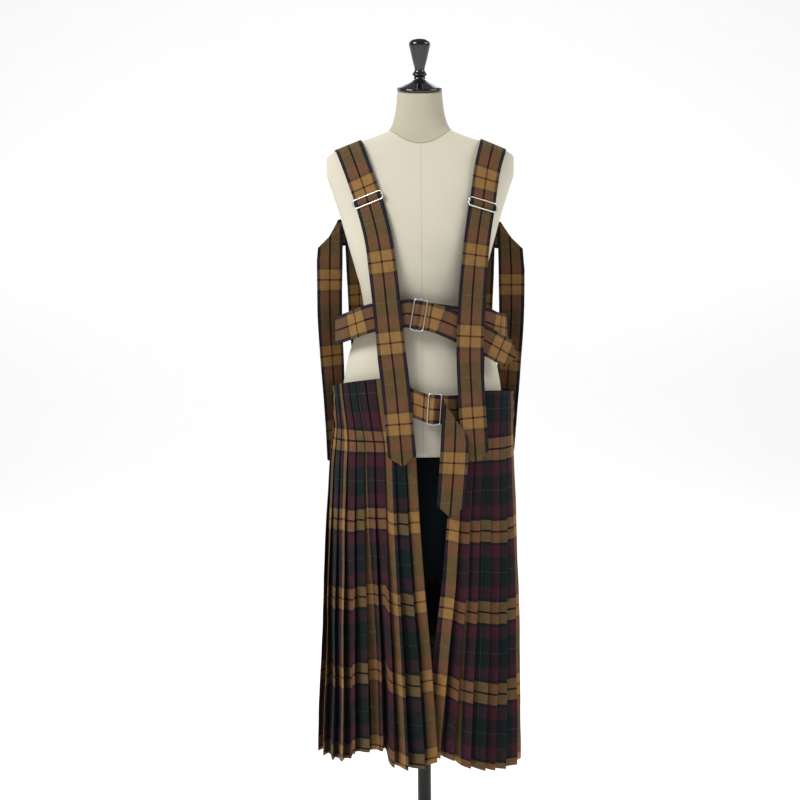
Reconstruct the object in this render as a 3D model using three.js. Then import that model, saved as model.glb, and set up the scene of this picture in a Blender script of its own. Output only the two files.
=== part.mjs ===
// An open-front pleated harness skirt in tartan, on a limbless dress form with a pole and a round base.
// Millimetres, +Z up, origin at the centre of the base's underside. The front of the garment faces -Y.
// A pleated panel is a wall folded in its cross-section, a strap is a flat ribbon carried along its route.
import * as THREE from "three";

// Cloth
const CLOTH = 1.0;
const SEAM_GAP = 0.3;
const STRAP_CLOTH = 1.2;
const STRAP_WIDTH = 52;
const TIP_LENGTH = 15;

// Knife pleats: one fold covers part of the next, all turned the same way round the body
const LAYER = CLOTH + SEAM_GAP;
const PLEATS = { left: 11, back: 22, right: 9 };
const FELL_OVERLAP = 16;
const FELL_DEPTH = 3.5;
const HEM_OVERLAP = 8;
const HEM_DEPTH = 17;
const SEAM_TUCK = 6;
const SEAM_EASE = 0.2;
const FELL_Z = 930;
const LAP_LIFT = 12;
const LAP_REACH = 90;
const LAP_START_Z = 640;
const GATHER_DEPTH = 2;
const GATHER_WIDTH = 26;

// The skirt's reach from the middle of the form at each height, in four directions
const SKIRT = [
  { z: 1010, left: 180, right: 185, front: 117, back: 124 },
  { z: 930, left: 178, right: 184, front: 118, back: 126 },
  { z: 862, left: 187, right: 186, front: 119, back: 130 },
  { z: 728, left: 195, right: 190, front: 121, back: 136 },
  { z: 560, left: 199, right: 191, front: 124, back: 142 },
  { z: 412, left: 202, right: 191, front: 127, back: 146 },
  { z: 250, left: 209, right: 190, front: 130, back: 150 },
];
// Heights of the wall's sections, as shares of the way from the top edge to the fell and from the fell to the hem
const FELL_SHARES = [0, 1];
const DROP_SHARES = [0.2, 0.45, 0.72, 1];
// Front edges of the two front panels, measured sideways from the middle
const EDGES = [
  { z: 1010, left: -24, right: 70 },
  { z: 873, left: -13, right: 58 },
  { z: 741, left: -5, right: 46 },
  { z: 595, left: 5, right: 35 },
  { z: 471, left: 17, right: 20 },
  { z: 260, left: 38, right: 0 },
];
// Heights of the top edge and of the hem round the body: 180 degrees is the left side, 270 the front
const LEVELS = [
  { angle: 0, top: 994, hem: 228 },
  { angle: 90, top: 1002, hem: 245 },
  { angle: 180, top: 1006, hem: 250 },
  { angle: 225, top: 1024, hem: 263 },
  { angle: 262, top: 1012, hem: 258 },
  { angle: 277, top: 1006, hem: 270 },
  { angle: 300, top: 1004, hem: 248 },
  { angle: 330, top: 1000, hem: 233 },
  { angle: 360, top: 994, hem: 228 },
];

// Dress form: half width, reach to the front and to the back at each height
const FORM = [
  { z: 873, half: 168, front: 104, back: 112 },
  { z: 936, half: 167, front: 105, back: 114 },
  { z: 996, half: 162, front: 103, back: 111 },
  { z: 1063, half: 150, front: 96, back: 100 },
  { z: 1114, half: 133, front: 88, back: 90 },
  { z: 1158, half: 116, front: 83, back: 82 },
  { z: 1200, half: 121, front: 90, back: 83 },
  { z: 1242, half: 132, front: 101, back: 87 },
  { z: 1292, half: 146, front: 106, back: 92 },
  { z: 1350, half: 162, front: 97, back: 95 },
  { z: 1400, half: 178, front: 84, back: 94 },
  { z: 1435, half: 188, front: 72, back: 86 },
  { z: 1464, half: 188, front: 62, back: 74 },
  { z: 1480, half: 168, front: 56, back: 66 },
  { z: 1493, half: 134, front: 53, back: 61 },
  { z: 1506, half: 92, front: 51, back: 57 },
  { z: 1520, half: 62, front: 49, back: 54 },
  { z: 1540, half: 52.5, front: 46, back: 49 },
  { z: 1565, half: 47.5, front: 45, back: 46 },
  { z: 1597, half: 44.5, front: 43, back: 43 },
];
const FORM_SIDES = 32;
const LOWER_BOTTOM = 631;
const LOWER = [
  { z: LOWER_BOTTOM, half: 158, front: 98, back: 104 },
  { z: 752, half: 166, front: 103, back: 111 },
  { z: 873 - SEAM_GAP, half: 167, front: 103, back: 111 },
];
const NECK_TILT = THREE.MathUtils.degToRad(17);
const NECK_TILT_START = 1520;
const NECK_TOP = 1597;

// Turned pieces: radius and height of each corner of the profile
const CAP_PROFILE = [[0, 0], [43.5, 0], [45.5, 1.5], [46, 5.5], [44, 8], [15, 21], [14, 22], [0, 22]];
const FINIAL_PROFILE = [
  [0, 0], [12, 0], [12.5, 2], [10.5, 4.5], [13, 7], [16, 10], [13, 13], [10, 17], [10, 20],
  [12.2, 28], [15, 38], [19.8, 58], [21.7, 67], [20.5, 71.5], [14, 76.5], [6, 78.6], [0, 79],
];
const FINIAL_SEAT = 22 + SEAM_GAP;
const BASE_PROFILE = [[0, 0], [166, 0], [170, 4], [170, 9], [150, 13], [40, 20], [24, 24], [22, 30], [22, 62], [0, 62]];
const POLE_RADIUS = 14;
const POLE_BOTTOM = 62 + SEAM_GAP;
const TURNED_SIDES = 24;

// Sliders: a frame of bent wire and a bar that slides on its short sides
const WIRE = 2.6;
const SLIDER_LENGTH = 58;
const SHOULDER_SLIDER_WIDTH = 20;
const BELT_SLIDER_WIDTH = 28;
const SLIDER_CORNER = 4;
const BAR_RADIUS = 1.2;
const LOOP_RADIUS = BAR_RADIUS + SEAM_GAP + STRAP_CLOTH / 2;
const FRAME_LIFT = WIRE / 2 + SEAM_GAP + STRAP_CLOTH / 2;
const OVER_BAR = FRAME_LIFT + LOOP_RADIUS + STRAP_CLOTH + SEAM_GAP;
const PLY = STRAP_CLOTH + SEAM_GAP;
const STUB = 30;
const FOLD_SPACE = 3.2;

// Routes: x, y, z of the ribbon's middle, face is the way its outer side looks round the body in degrees
// (0 to the front, 90 to the right side, 180 to the back) and rise is how far that side looks up
const SHOULDER_LEFT = [
  { x: -120, y: 97, z: 1062, face: 208, rise: 0 },
  { x: -126, y: 94, z: 1130, face: 210, rise: 0 },
  { x: -130, y: 88, z: 1220, face: 212, rise: 0 },
  { x: -134, y: 78, z: 1326, face: 213, rise: 4 },
  { x: -141, y: 68, z: 1410, face: 213, rise: 18 },
  { x: -146, y: 52, z: 1469, face: 220, rise: 46 },
  { x: -147, y: 30, z: 1485.6, face: 223, rise: 62 },
  { x: -146, y: 2, z: 1491.1, face: -90, rise: 69 },
  { x: -139, y: -44, z: 1478, face: -32, rise: 46 },
  { x: -124, y: -63, z: 1437, face: -24, rise: 26 },
  { x: -103, y: -81, z: 1375, face: -17, rise: 12 },
  { x: -86, y: -101, z: 1311, face: -16, rise: 6 },
  { x: -78, y: -104, z: 1262, face: -12, rise: 2 },
  { x: -68, y: -108, z: 1164, face: -8, rise: 2 },
  { x: -61, y: -114, z: 1091, face: -6, rise: 2 },
  { x: -53, y: -122, z: 1018, face: -6, rise: 2 },
  { x: -46, y: -126, z: 936, face: -5, rise: 0 },
  { x: -40, y: -128, z: 859, face: -5, rise: 0 },
];
const SHOULDER_RIGHT = [
  { x: 120, y: 97, z: 1062, face: 152, rise: 0 },
  { x: 126, y: 94, z: 1130, face: 150, rise: 0 },
  { x: 130, y: 88, z: 1220, face: 148, rise: 0 },
  { x: 134, y: 78, z: 1326, face: 147, rise: 4 },
  { x: 141, y: 68, z: 1410, face: 147, rise: 18 },
  { x: 146, y: 52, z: 1469, face: 140, rise: 46 },
  { x: 147, y: 30, z: 1485.6, face: 137, rise: 62 },
  { x: 147, y: 2, z: 1490.9, face: 90, rise: 69 },
  { x: 142, y: -43, z: 1478, face: 32, rise: 46 },
  { x: 131, y: -60, z: 1438, face: 26, rise: 26 },
  { x: 119, y: -77, z: 1364, face: 24, rise: 12 },
  { x: 110, y: -91, z: 1311, face: 23, rise: 6 },
  { x: 104, y: -96, z: 1262, face: 20, rise: 2 },
  { x: 96, y: -103, z: 1164, face: 14, rise: 2 },
  { x: 92, y: -112, z: 1074, face: 14, rise: 2 },
  { x: 94, y: -119, z: 1000, face: 16, rise: 2 },
  { x: 98, y: -121, z: 930, face: 16, rise: 0 },
  { x: 102, y: -122, z: 865, face: 16, rise: 0 },
];
const SHOULDER_SLIDER_LEFT_Z = 1375;
const SHOULDER_SLIDER_RIGHT_Z = 1364;
// Straps are sewn inside the waist edge: the angle round the skirt, and the heights of the sewn stretch
const SEWN = [
  { name: "back_left", angle: 127, low: 962, high: 1010, out: -3.6 },
  { name: "back_right", angle: 53, low: 962, high: 1006, out: -3.6 },
  { name: "front_left", angle: 252, low: 962, high: 1024, out: -1.5 },
  { name: "front_right", angle: 301, low: 958, high: 1012, out: -1.5 },
];
// Front straps, from the waist edge up to the bar
const FRONT_LEFT = [
  { x: -60, y: -103.5, z: 1062, face: -13, rise: 3 },
  { x: -67, y: -100, z: 1150, face: -11, rise: 3 },
  { x: -83, y: -97, z: 1296, face: -17, rise: 8 },
];
const FRONT_RIGHT = [
  { x: 96, y: -96.5, z: 1062, face: 22, rise: 3 },
  { x: 98, y: -92, z: 1150, face: 20, rise: 3 },
  { x: 107, y: -84.5, z: 1290, face: 23, rise: 7 },
];
// Belt across the upper back, from the fold at one end to the fold at the other
const BACK_BELT_Z = { left: 1326, right: 1318 };
const BACK_FOLD_LEFT = { x: -187, y: 52, z: 1316, face: 204, rise: 0, slant: 26 };
const BACK_FOLD_RIGHT = { x: 187, y: 52, z: 1298, face: 156, rise: 0, slant: -26 };
const BACK_MIDDLE = { x: 0, y: 100, z: 1340, face: 180, rise: 0 };
// Its hanging ends, below the fold
const SIDE_LEFT = [
  { x: -187.5, y: 46, z: 1262, face: 19, rise: 0 },
  { x: -189, y: 53, z: 1150, face: 26, rise: 0 },
  { x: -185, y: 64, z: 1030, face: 34, rise: 0 },
  { x: -181, y: 76, z: 930, face: 40, rise: 0 },
  { x: -178, y: 83, z: 828, face: 42, rise: 0 },
];
const SIDE_RIGHT = [
  { x: 188.5, y: 46, z: 1242, face: -19, rise: 0 },
  { x: 189, y: 53, z: 1150, face: -26, rise: 0 },
  { x: 184, y: 64, z: 1030, face: -34, rise: 0 },
  { x: 179, y: 76, z: 930, face: -40, rise: 0 },
  { x: 175, y: 84, z: 846, face: -44, rise: 0 },
];
// Belt round the midriff: each half from the middle of the back, round a side, to the slider or past it
const MIDRIFF_BACK_Z = 1128;
const MIDRIFF_LEFT_BACK = [
  { x: 14, y: 105, z: 1128, face: 178, rise: 0 },
  { x: -50, y: 105, z: 1128, face: 184, rise: 0 },
];
const MIDRIFF_LEFT_SIDE = [
  { x: -166, y: 52, z: 1121, face: 243, rise: 0 },
  { x: -175, y: 12, z: 1120, face: 268, rise: 0 },
  { x: -163, y: -38, z: 1124, face: 304, rise: 0 },
  { x: -130, y: -75, z: 1136, face: 322, rise: 0 },
];
const MIDRIFF_FRONT_Z = { left: 1150, right: 1138 };
const MIDRIFF_SLIDER = { x: -7, y: -108, z: 1151.5, face: 0, rise: 0, tilt: 10 };
const MIDRIFF_TAIL = [
  { x: 31, y: -109.8, z: 1144, face: 3, rise: 0 },
  { x: 66, y: -108.5, z: 1128, face: 12, rise: 0 },
  { x: 98, y: -101.5, z: 1113, face: 20, rise: 0 },
  { x: 124, y: -92, z: 1100, face: 26, rise: 0 },
  { x: 157, y: -76, z: 1081, face: 30, rise: 0 },
  { x: 186, y: -58, z: 1064, face: 32, rise: 0 },
];
const MIDRIFF_RIGHT_BACK = [
  { x: -14, y: 106.6, z: 1128, face: 182, rise: 0 },
  { x: 50, y: 106.6, z: 1128, face: 176, rise: 0 },
];
const MIDRIFF_RIGHT_SIDE = [
  { x: 166, y: 52, z: 1124, face: 117, rise: 0 },
  { x: 174, y: 12, z: 1123, face: 92, rise: 0 },
  { x: 166, y: -36, z: 1124, face: 60, rise: 0 },
  { x: 142, y: -68, z: 1130, face: 36, rise: 0 },
];
// Belt across the front opening, sewn outside the two top corners
const WAIST_OUT = 6;
const WAIST_LEFT_SEWN = { from: 248, to: 262.5, z: 989 };
const WAIST_RIGHT_SEWN = { from: 310, to: 294, z: 968 };
const WAIST_SLIDER = { x: 21.5, y: -123, z: 970, face: 2, rise: 0, tilt: 4 };
const WAIST_FOLD = { x: 68, y: -132.2, z: 951, face: 4, rise: 0, turn: 32 };
const WAIST_TAIL = [
  { x: 67, y: -134.2, z: 905, face: 6, rise: 0 },
  { x: 63, y: -134, z: 850, face: 6, rise: 0 },
  { x: 50, y: -136, z: 761, face: 4, rise: 0 },
];

// Geometry
const mix = (a, b, t) => a + (b - a) * t;
const smooth = (t) => {
  const c = Math.min(1, Math.max(0, t));
  return c * c * (3 - 2 * c);
};

// A row between the rows of a table, by one of its columns
function between(table, column, value) {
  const rows = table[0][column] < table.at(-1)[column] ? table : [...table].reverse();
  const v = Math.min(rows.at(-1)[column], Math.max(rows[0][column], value));
  let i = 1;
  while (i < rows.length - 1 && v > rows[i][column]) i += 1;
  const t = (v - rows[i - 1][column]) / (rows[i][column] - rows[i - 1][column]);
  return Object.fromEntries(Object.keys(rows[0]).map((k) => [k, mix(rows[i - 1][k], rows[i][k], t)]));
}

function solid(points, faces) {
  const geometry = new THREE.BufferGeometry();
  geometry.setAttribute("position", new THREE.Float32BufferAttribute(points.flatMap((p) => [p.x, p.y, p.z]), 3));
  geometry.setIndex(faces.flat());
  const volume = faces.reduce((sum, [a, b, c]) => {
    const cross = new THREE.Vector3().crossVectors(points[b], points[c]);
    return sum + points[a].dot(cross);
  }, 0);
  if (volume < 0) geometry.setIndex(faces.flatMap(([a, b, c]) => [a, c, b]));
  geometry.computeVertexNormals();
  return geometry;
}

// A wall between two grids of points, outer[i][j] and inner[i][j], closed at its four rims
function wall(outer, inner) {
  const rows = outer.length;
  const columns = outer[0].length;
  const points = [...outer.flat(), ...inner.flat()];
  const at = (side, i, j) => side * rows * columns + i * columns + j;
  const faces = [];
  const quad = (a, b, c, d) => faces.push([a, b, c], [a, c, d]);
  for (let i = 0; i < rows - 1; i += 1)
    for (let j = 0; j < columns - 1; j += 1) {
      quad(at(0, i, j), at(0, i + 1, j), at(0, i + 1, j + 1), at(0, i, j + 1));
      quad(at(1, i, j), at(1, i, j + 1), at(1, i + 1, j + 1), at(1, i + 1, j));
    }
  for (let i = 0; i < rows - 1; i += 1) {
    quad(at(0, i, 0), at(1, i, 0), at(1, i + 1, 0), at(0, i + 1, 0));
    const j = columns - 1;
    quad(at(0, i, j), at(0, i + 1, j), at(1, i + 1, j), at(1, i, j));
  }
  for (let j = 0; j < columns - 1; j += 1) {
    quad(at(0, 0, j), at(0, 0, j + 1), at(1, 0, j + 1), at(1, 0, j));
    const i = rows - 1;
    quad(at(0, i, j), at(1, i, j), at(1, i, j + 1), at(0, i, j + 1));
  }
  return solid(points, faces);
}

// A body through closed rings, with a flat fan over each end
function loft(rings) {
  const sides = rings[0].length;
  const points = rings.flat();
  const faces = [];
  for (let i = 0; i < rings.length - 1; i += 1)
    for (let j = 0; j < sides; j += 1) {
      const k = (j + 1) % sides;
      faces.push([i * sides + j, i * sides + k, (i + 1) * sides + k]);
      faces.push([i * sides + j, (i + 1) * sides + k, (i + 1) * sides + j]);
    }
  const last = (rings.length - 1) * sides;
  for (let j = 1; j < sides - 1; j += 1) {
    faces.push([0, j + 1, j]);
    faces.push([last, last + j, last + j + 1]);
  }
  return solid(points, faces);
}

// Dress form: an oval ring at each row, squared a little at the sides
function formRing(row) {
  const tilt = Math.tan(NECK_TILT) * smooth((row.z - NECK_TILT_START) / (NECK_TOP - NECK_TILT_START));
  return Array.from({ length: FORM_SIDES }, (_, j) => {
    const angle = (2 * Math.PI * j) / FORM_SIDES;
    const depth = Math.sin(angle) < 0 ? row.front : row.back;
    const squareness = 0.92;
    const x = row.half * Math.sign(Math.cos(angle)) * Math.abs(Math.cos(angle)) ** squareness;
    const y = depth * Math.sign(Math.sin(angle)) * Math.abs(Math.sin(angle)) ** squareness;
    return new THREE.Vector3(x, y, row.z + y * tilt);
  });
}

function turned(profile) {
  const lathe = new THREE.LatheGeometry(profile.map(([r, z]) => new THREE.Vector2(r, z)), TURNED_SIDES);
  return lathe.rotateX(Math.PI / 2);
}

// Skirt: the plain line that the pleats stand on, at an angle and height, and the way out from it
function skirtPoint(angle, z, out) {
  const row = between(SKIRT, "z", z);
  const side = Math.cos(angle) < 0 ? row.left : row.right;
  const depth = Math.sin(angle) < 0 ? row.front : row.back;
  const normal = new THREE.Vector3(Math.cos(angle) / side, Math.sin(angle) / depth, 0).normalize();
  return new THREE.Vector3(side * Math.cos(angle), depth * Math.sin(angle), z).addScaledVector(normal, out);
}

// The angle at which the skirt's line has a given sideways place on the front
function frontAngle(x, z) {
  const row = between(SKIRT, "z", z);
  return 2 * Math.PI - Math.acos(x / (x < 0 ? row.left : row.right));
}

// Angles at even distances along the skirt's line from one angle to another
function evenAngles(from, to, z) {
  const steps = 160;
  const angles = Array.from({ length: steps + 1 }, (_, k) => mix(from, to, k / steps));
  const lengths = [0];
  for (let k = 1; k <= steps; k += 1)
    lengths.push(lengths[k - 1] + skirtPoint(angles[k], z, 0).distanceTo(skirtPoint(angles[k - 1], z, 0)));
  const total = lengths[steps];
  const angleAt = (u) => {
    if (u <= 0) return from + (u / lengths[1]) * (angles[1] - from);
    if (u >= total) return to + ((u - total) / (total - lengths[steps - 1])) * (to - angles[steps - 1]);
    let k = 1;
    while (lengths[k] < u) k += 1;
    return mix(angles[k - 1], angles[k], (u - lengths[k - 1]) / (lengths[k] - lengths[k - 1]));
  };
  return { total, angleAt };
}

// The folded line of a run of knife pleats: along the skirt and out from it
function pleatLine(count, pitch, overlap, depth, tuck) {
  const line = [{ along: -tuck, out: 0 }, { along: 0.2 * (pitch - overlap), out: 0 }];
  for (let i = 0; i < count - 1; i += 1) {
    const fold = (i + 1) * pitch;
    const swell = depth * (1 + 0.16 * Math.sin(2.3 * i + 0.7));
    line.push({ along: fold - overlap, out: mix(2 * LAYER, swell * 0.75, smooth((depth - FELL_DEPTH) / HEM_DEPTH)) });
    line.push({ along: fold, out: swell });
    line.push({ along: fold, out: swell - LAYER });
    line.push({ along: fold - overlap, out: LAYER });
    line.push({ along: fold - overlap, out: 0 });
    line.push({ along: fold + 0.2 * (pitch - overlap), out: 0.2 });
  }
  line.push({ along: (count - 0.55) * pitch, out: LAYER + SEAM_EASE });
  line.push({ along: count * pitch, out: LAYER + SEAM_EASE });
  return line;
}

// A folded line moved sideways by a distance, with mitred corners
function moved(line, distance) {
  return line.map((point, k) => {
    const before = line[Math.max(0, k - 1)];
    const after = line[Math.min(line.length - 1, k + 1)];
    const unit = (a, b) => new THREE.Vector2(b.along - a.along, b.out - a.out).normalize();
    const first = k === 0 ? unit(point, after) : unit(before, point);
    const second = k === line.length - 1 ? first : unit(point, after);
    const turn = new THREE.Vector2(-first.y - second.y, first.x + second.x).normalize();
    const reach = distance / Math.max(0.35, turn.dot(new THREE.Vector2(-first.y, first.x)));
    return { along: point.along + turn.x * reach, out: point.out + turn.y * reach };
  });
}

// One pleated panel from one angle to another; lap lifts its free front edge over the other panel, or drops it under
function pleatedPanel(count, fromAngle, toAngle, tuck, lapAt, lapWay, gathered) {
  const shares = [...FELL_SHARES.map((s) => -1 + s), ...DROP_SHARES];
  const outer = [];
  const inner = [];
  for (const share of shares) {
    const nominal = share <= 0 ? mix(FELL_Z, LEVELS[0].top, -share) : mix(FELL_Z, LEVELS[0].hem, share);
    const { total, angleAt } = evenAngles(fromAngle(nominal), toAngle(nominal), nominal);
    const pitch = total / count;
    const open = smooth(share);
    const line = pleatLine(count, pitch, mix(FELL_OVERLAP, HEM_OVERLAP, open), mix(FELL_DEPTH, HEM_DEPTH, open), tuck);
    const lap = LAP_LIFT * smooth((LAP_START_Z - nominal) / (LAP_START_Z - 300));
    const place = ({ along, out }) => {
      const angle = angleAt(along);
      const degrees = THREE.MathUtils.radToDeg(angle) % 360;
      const level = between(LEVELS, "angle", degrees < 0 ? degrees + 360 : degrees);
      const z = share <= 0 ? mix(FELL_Z, level.top, -share) : mix(FELL_Z, level.hem, share);
      const edge = lapAt === "end" ? total - along : along;
      const lift = lapWay * lap * smooth(1 - edge / LAP_REACH);
      const ends = smooth(along / 60) * smooth((total - along) / 60);
      const wave = gathered && share < 0 ? GATHER_DEPTH * ends * Math.sin((2 * Math.PI * along) / GATHER_WIDTH) : 0;
      return skirtPoint(angle, z, out + lift + wave);
    };
    outer.push(moved(line, CLOTH / 2).map(place));
    inner.push(moved(line, -CLOTH / 2).map(place));
  }
  return wall(outer, inner);
}

// Straps: sections with a middle, the way across, the way out and half a width
function facing(row) {
  const face = THREE.MathUtils.degToRad(row.face);
  const rise = THREE.MathUtils.degToRad(row.rise);
  const level = Math.cos(rise);
  return new THREE.Vector3(level * Math.sin(face), -level * Math.cos(face), Math.sin(rise));
}

function route(rows) {
  const curve = new THREE.CatmullRomCurve3(rows.map((r) => new THREE.Vector3(r.x, r.y, r.z)), false, "centripetal");
  const facings = rows.map(facing);
  const sectionAt = (t) => {
    const scaled = t * (rows.length - 1);
    const k = Math.min(rows.length - 2, Math.floor(scaled));
    const tangent = curve.getTangent(t).normalize();
    const out = new THREE.Vector3().lerpVectors(facings[k], facings[k + 1], scaled - k);
    out.addScaledVector(tangent, -out.dot(tangent)).normalize();
    return { middle: curve.getPoint(t), tangent, out, across: new THREE.Vector3().crossVectors(tangent, out) };
  };
  return { sectionAt, rows: rows.length };
}

// Sections at even steps along a stretch of a route
function stretch(rows, perRow, from = 0, to = 1) {
  const line = route(rows);
  const steps = Math.max(2, Math.round((rows.length - 1) * perRow * (to - from)));
  return Array.from({ length: steps + 1 }, (_, k) => line.sectionAt(mix(from, to, k / steps)));
}

// A ribbon through sections, which may narrow to a point at the last one and at the first one
function ribbon(sections, tips = { last: false, first: false }) {
  const along = [0];
  for (let k = 1; k < sections.length; k += 1)
    along.push(along[k - 1] + sections[k].middle.distanceTo(sections[k - 1].middle));
  const narrow = (distance) => Math.min(1, 0.06 + (0.94 * distance) / TIP_LENGTH);
  const rows = sections.map((section, k) => {
    const { middle, out, across, tangent, slant = 0, wide = STRAP_WIDTH } = section;
    const share = Math.min(tips.last ? narrow(along.at(-1) - along[k]) : 1, tips.first ? narrow(along[k]) : 1);
    return [1, 0, -1].map((side) => {
      if (section.sewnAt) return section.sewnAt((side * wide) / 2);
      const reach = (side * wide * share) / 2;
      const point = middle.clone().addScaledVector(across, reach).addScaledVector(tangent, side * slant * share);
      return { point, out };
    });
  });
  const shifted = (distance) => rows.map((row) => row.map(({ point, out }) => point.clone().addScaledVector(out, distance)));
  return wall(shifted(STRAP_CLOTH / 2), shifted(-STRAP_CLOTH / 2));
}

// A section laid against the skirt, at an angle and height, running up; sideways follows the skirt's curve
function sewnSection(degrees, z, out) {
  const angle = THREE.MathUtils.degToRad(degrees);
  const step = 0.01;
  const perStep = skirtPoint(angle + step, z, out).distanceTo(skirtPoint(angle, z, out));
  const sewnAt = (sideways) => {
    const turned = angle + (step * sideways) / perStep;
    const point = skirtPoint(turned, z, out);
    return { point, out: skirtPoint(turned, z, out + 1).sub(point) };
  };
  return { middle: skirtPoint(angle, z, out), sewnAt };
}

// Sections of a short stretch in a slider's own frame: away along the strap and up out of it
function local(slider, profile, reversed = false) {
  const across = slider.across.clone().multiplyScalar(reversed ? -1 : 1);
  return profile.map(([away, up], k) => {
    const [a0, u0] = profile[Math.max(0, k - 1)];
    const [a1, u1] = profile[Math.min(profile.length - 1, k + 1)];
    const tangent = slider.along.clone().multiplyScalar(a1 - a0).addScaledVector(slider.out, u1 - u0).normalize();
    const out = new THREE.Vector3().crossVectors(across, tangent);
    const middle = slider.centre.clone().addScaledVector(slider.along, away).addScaledVector(slider.out, up);
    return { middle, tangent, out, across, wide: slider.wide };
  });
}

// A strap's way through a slider: under one side of the frame, over the bar, under the other side
function through(slider, halfWidth) {
  const side = halfWidth - WIRE / 2;
  return local(slider, [
    [-side - 10, 0], [-side, 0], [-side + 1.8, 0.4], [-3, OVER_BAR - 0.7], [0, OVER_BAR],
    [3, OVER_BAR - 0.7], [side - 1.8, 0.4], [side, 0], [side + 10, 0],
  ]);
}

// The end of a fixed strap: in under the through strap, round the bar and back to its sewn stub
function barLoop(slider, halfWidth) {
  const side = halfWidth - WIRE / 2;
  const profile = [[side + 10, -2 * PLY], [side - 1.5, -2 * PLY], [4.2, -2 * PLY + 0.3]];
  const turns = 8;
  for (let k = 0; k <= turns; k += 1) {
    const angle = -Math.PI / 3 - ((4 * Math.PI) / 3) * (k / turns);
    profile.push([LOOP_RADIUS * Math.cos(angle), FRAME_LIFT + LOOP_RADIUS * Math.sin(angle)]);
  }
  profile.push([side - 2.5, -PLY], [side + STUB, -PLY]);
  return local(slider, profile, true);
}

// Slider hardware, made flat and turned into place
function sliderMatrix(slider) {
  const centre = slider.centre.clone().addScaledVector(slider.out, FRAME_LIFT);
  return new THREE.Matrix4().makeBasis(slider.along, slider.across.clone().negate(), slider.out).setPosition(centre);
}

function roundedRectangle(path, width, length, radius) {
  const w = width / 2;
  const l = length / 2;
  path.moveTo(-w + radius, -l);
  path.lineTo(w - radius, -l);
  path.absarc(w - radius, -l + radius, radius, -Math.PI / 2, 0, false);
  path.lineTo(w, l - radius);
  path.absarc(w - radius, l - radius, radius, 0, Math.PI / 2, false);
  path.lineTo(-w + radius, l);
  path.absarc(-w + radius, l - radius, radius, Math.PI / 2, Math.PI, false);
  path.lineTo(-w, -l + radius);
  path.absarc(-w + radius, -l + radius, radius, Math.PI, 1.5 * Math.PI, false);
  return path;
}

function sliderFrame(slider, width) {
  const bevel = WIRE * 0.28;
  const outside = roundedRectangle(new THREE.Shape(), width - 2 * bevel, SLIDER_LENGTH - 2 * bevel, SLIDER_CORNER);
  const window = { width: width - 2 * WIRE + 2 * bevel, length: SLIDER_LENGTH - 2 * WIRE + 2 * bevel };
  outside.holes.push(roundedRectangle(new THREE.Path(), window.width, window.length, SLIDER_CORNER / 2));
  const geometry = new THREE.ExtrudeGeometry(outside, {
    depth: WIRE - 2 * bevel, bevelEnabled: true, bevelThickness: bevel, bevelSize: bevel, bevelSegments: 1,
    curveSegments: 3,
  });
  return geometry.translate(0, 0, bevel - WIRE / 2).applyMatrix4(sliderMatrix(slider));
}

// The bar ends just inside the frame's short sides
function sliderBar(slider) {
  const inside = SLIDER_LENGTH - 2 * WIRE - 2 * SEAM_GAP;
  return new THREE.CylinderGeometry(BAR_RADIUS, BAR_RADIUS, inside, 8).applyMatrix4(sliderMatrix(slider));
}

const group = new THREE.Group();
const materials = {
  tartan: new THREE.MeshStandardMaterial({ color: 0x5c4030, roughness: 0.85 }),
  cream: new THREE.MeshStandardMaterial({ color: 0xded8c6, roughness: 0.8 }),
  dark: new THREE.MeshStandardMaterial({ color: 0x0c1216, roughness: 0.9 }),
  black: new THREE.MeshStandardMaterial({ color: 0x101012, roughness: 0.25 }),
  nickel: new THREE.MeshStandardMaterial({ color: 0xd8d2c8, roughness: 0.25, metalness: 1 }),
};

function add(name, geometry, material) {
  const mesh = new THREE.Mesh(geometry, materials[material].clone());
  mesh.name = name;
  group.add(mesh);
  return mesh;
}

// Stand
add("form_torso", loft(FORM.map(formRing)), "cream");
add("form_lower", loft(LOWER.map(formRing)), "dark");
const cap = add("neck_cap", turned(CAP_PROFILE), "black");
cap.position.set(0, 0, NECK_TOP + SEAM_GAP / Math.cos(NECK_TILT));
cap.rotation.x = NECK_TILT;
const finial = add("finial", turned(FINIAL_PROFILE), "black");
finial.rotation.x = NECK_TILT;
finial.position.copy(cap.position);
finial.translateZ(FINIAL_SEAT);
add("base", turned(BASE_PROFILE), "black");
const poleLength = LOWER_BOTTOM - SEAM_GAP - POLE_BOTTOM;
const pole = add("pole", new THREE.CylinderGeometry(POLE_RADIUS, POLE_RADIUS, poleLength, TURNED_SIDES), "black");
pole.geometry.rotateX(Math.PI / 2);
pole.position.z = POLE_BOTTOM + poleLength / 2;

// Skirt panels
const leftEdge = (z) => frontAngle(between(EDGES, "z", z).left, z);
const rightEdge = (z) => frontAngle(between(EDGES, "z", z).right, z);
const turnOf = (degrees) => () => THREE.MathUtils.degToRad(degrees);
add("skirt_front_left", pleatedPanel(PLEATS.left, turnOf(180), leftEdge, SEAM_TUCK, "end", 1, false), "tartan");
add("skirt_front_right", pleatedPanel(PLEATS.right, rightEdge, turnOf(360), 0, "start", -1, false), "tartan");
add("skirt_back", pleatedPanel(PLEATS.back, turnOf(0), turnOf(180), SEAM_TUCK, "end", 0, true), "tartan");

function addSlider(name, slider, width) {
  add(`slider_${name}_frame`, sliderFrame(slider, width), "nickel");
  add(`slider_${name}_bar`, sliderBar(slider), "nickel");
}

// The section of a strap nearest a height, on the front or on the back
function sectionNear(sections, z, front) {
  const likely = sections.filter((s) => s.tangent && s.middle.y < 0 === front);
  return likely.reduce((best, s) => (Math.abs(s.middle.z - z) < Math.abs(best.middle.z - z) ? s : best));
}

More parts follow.
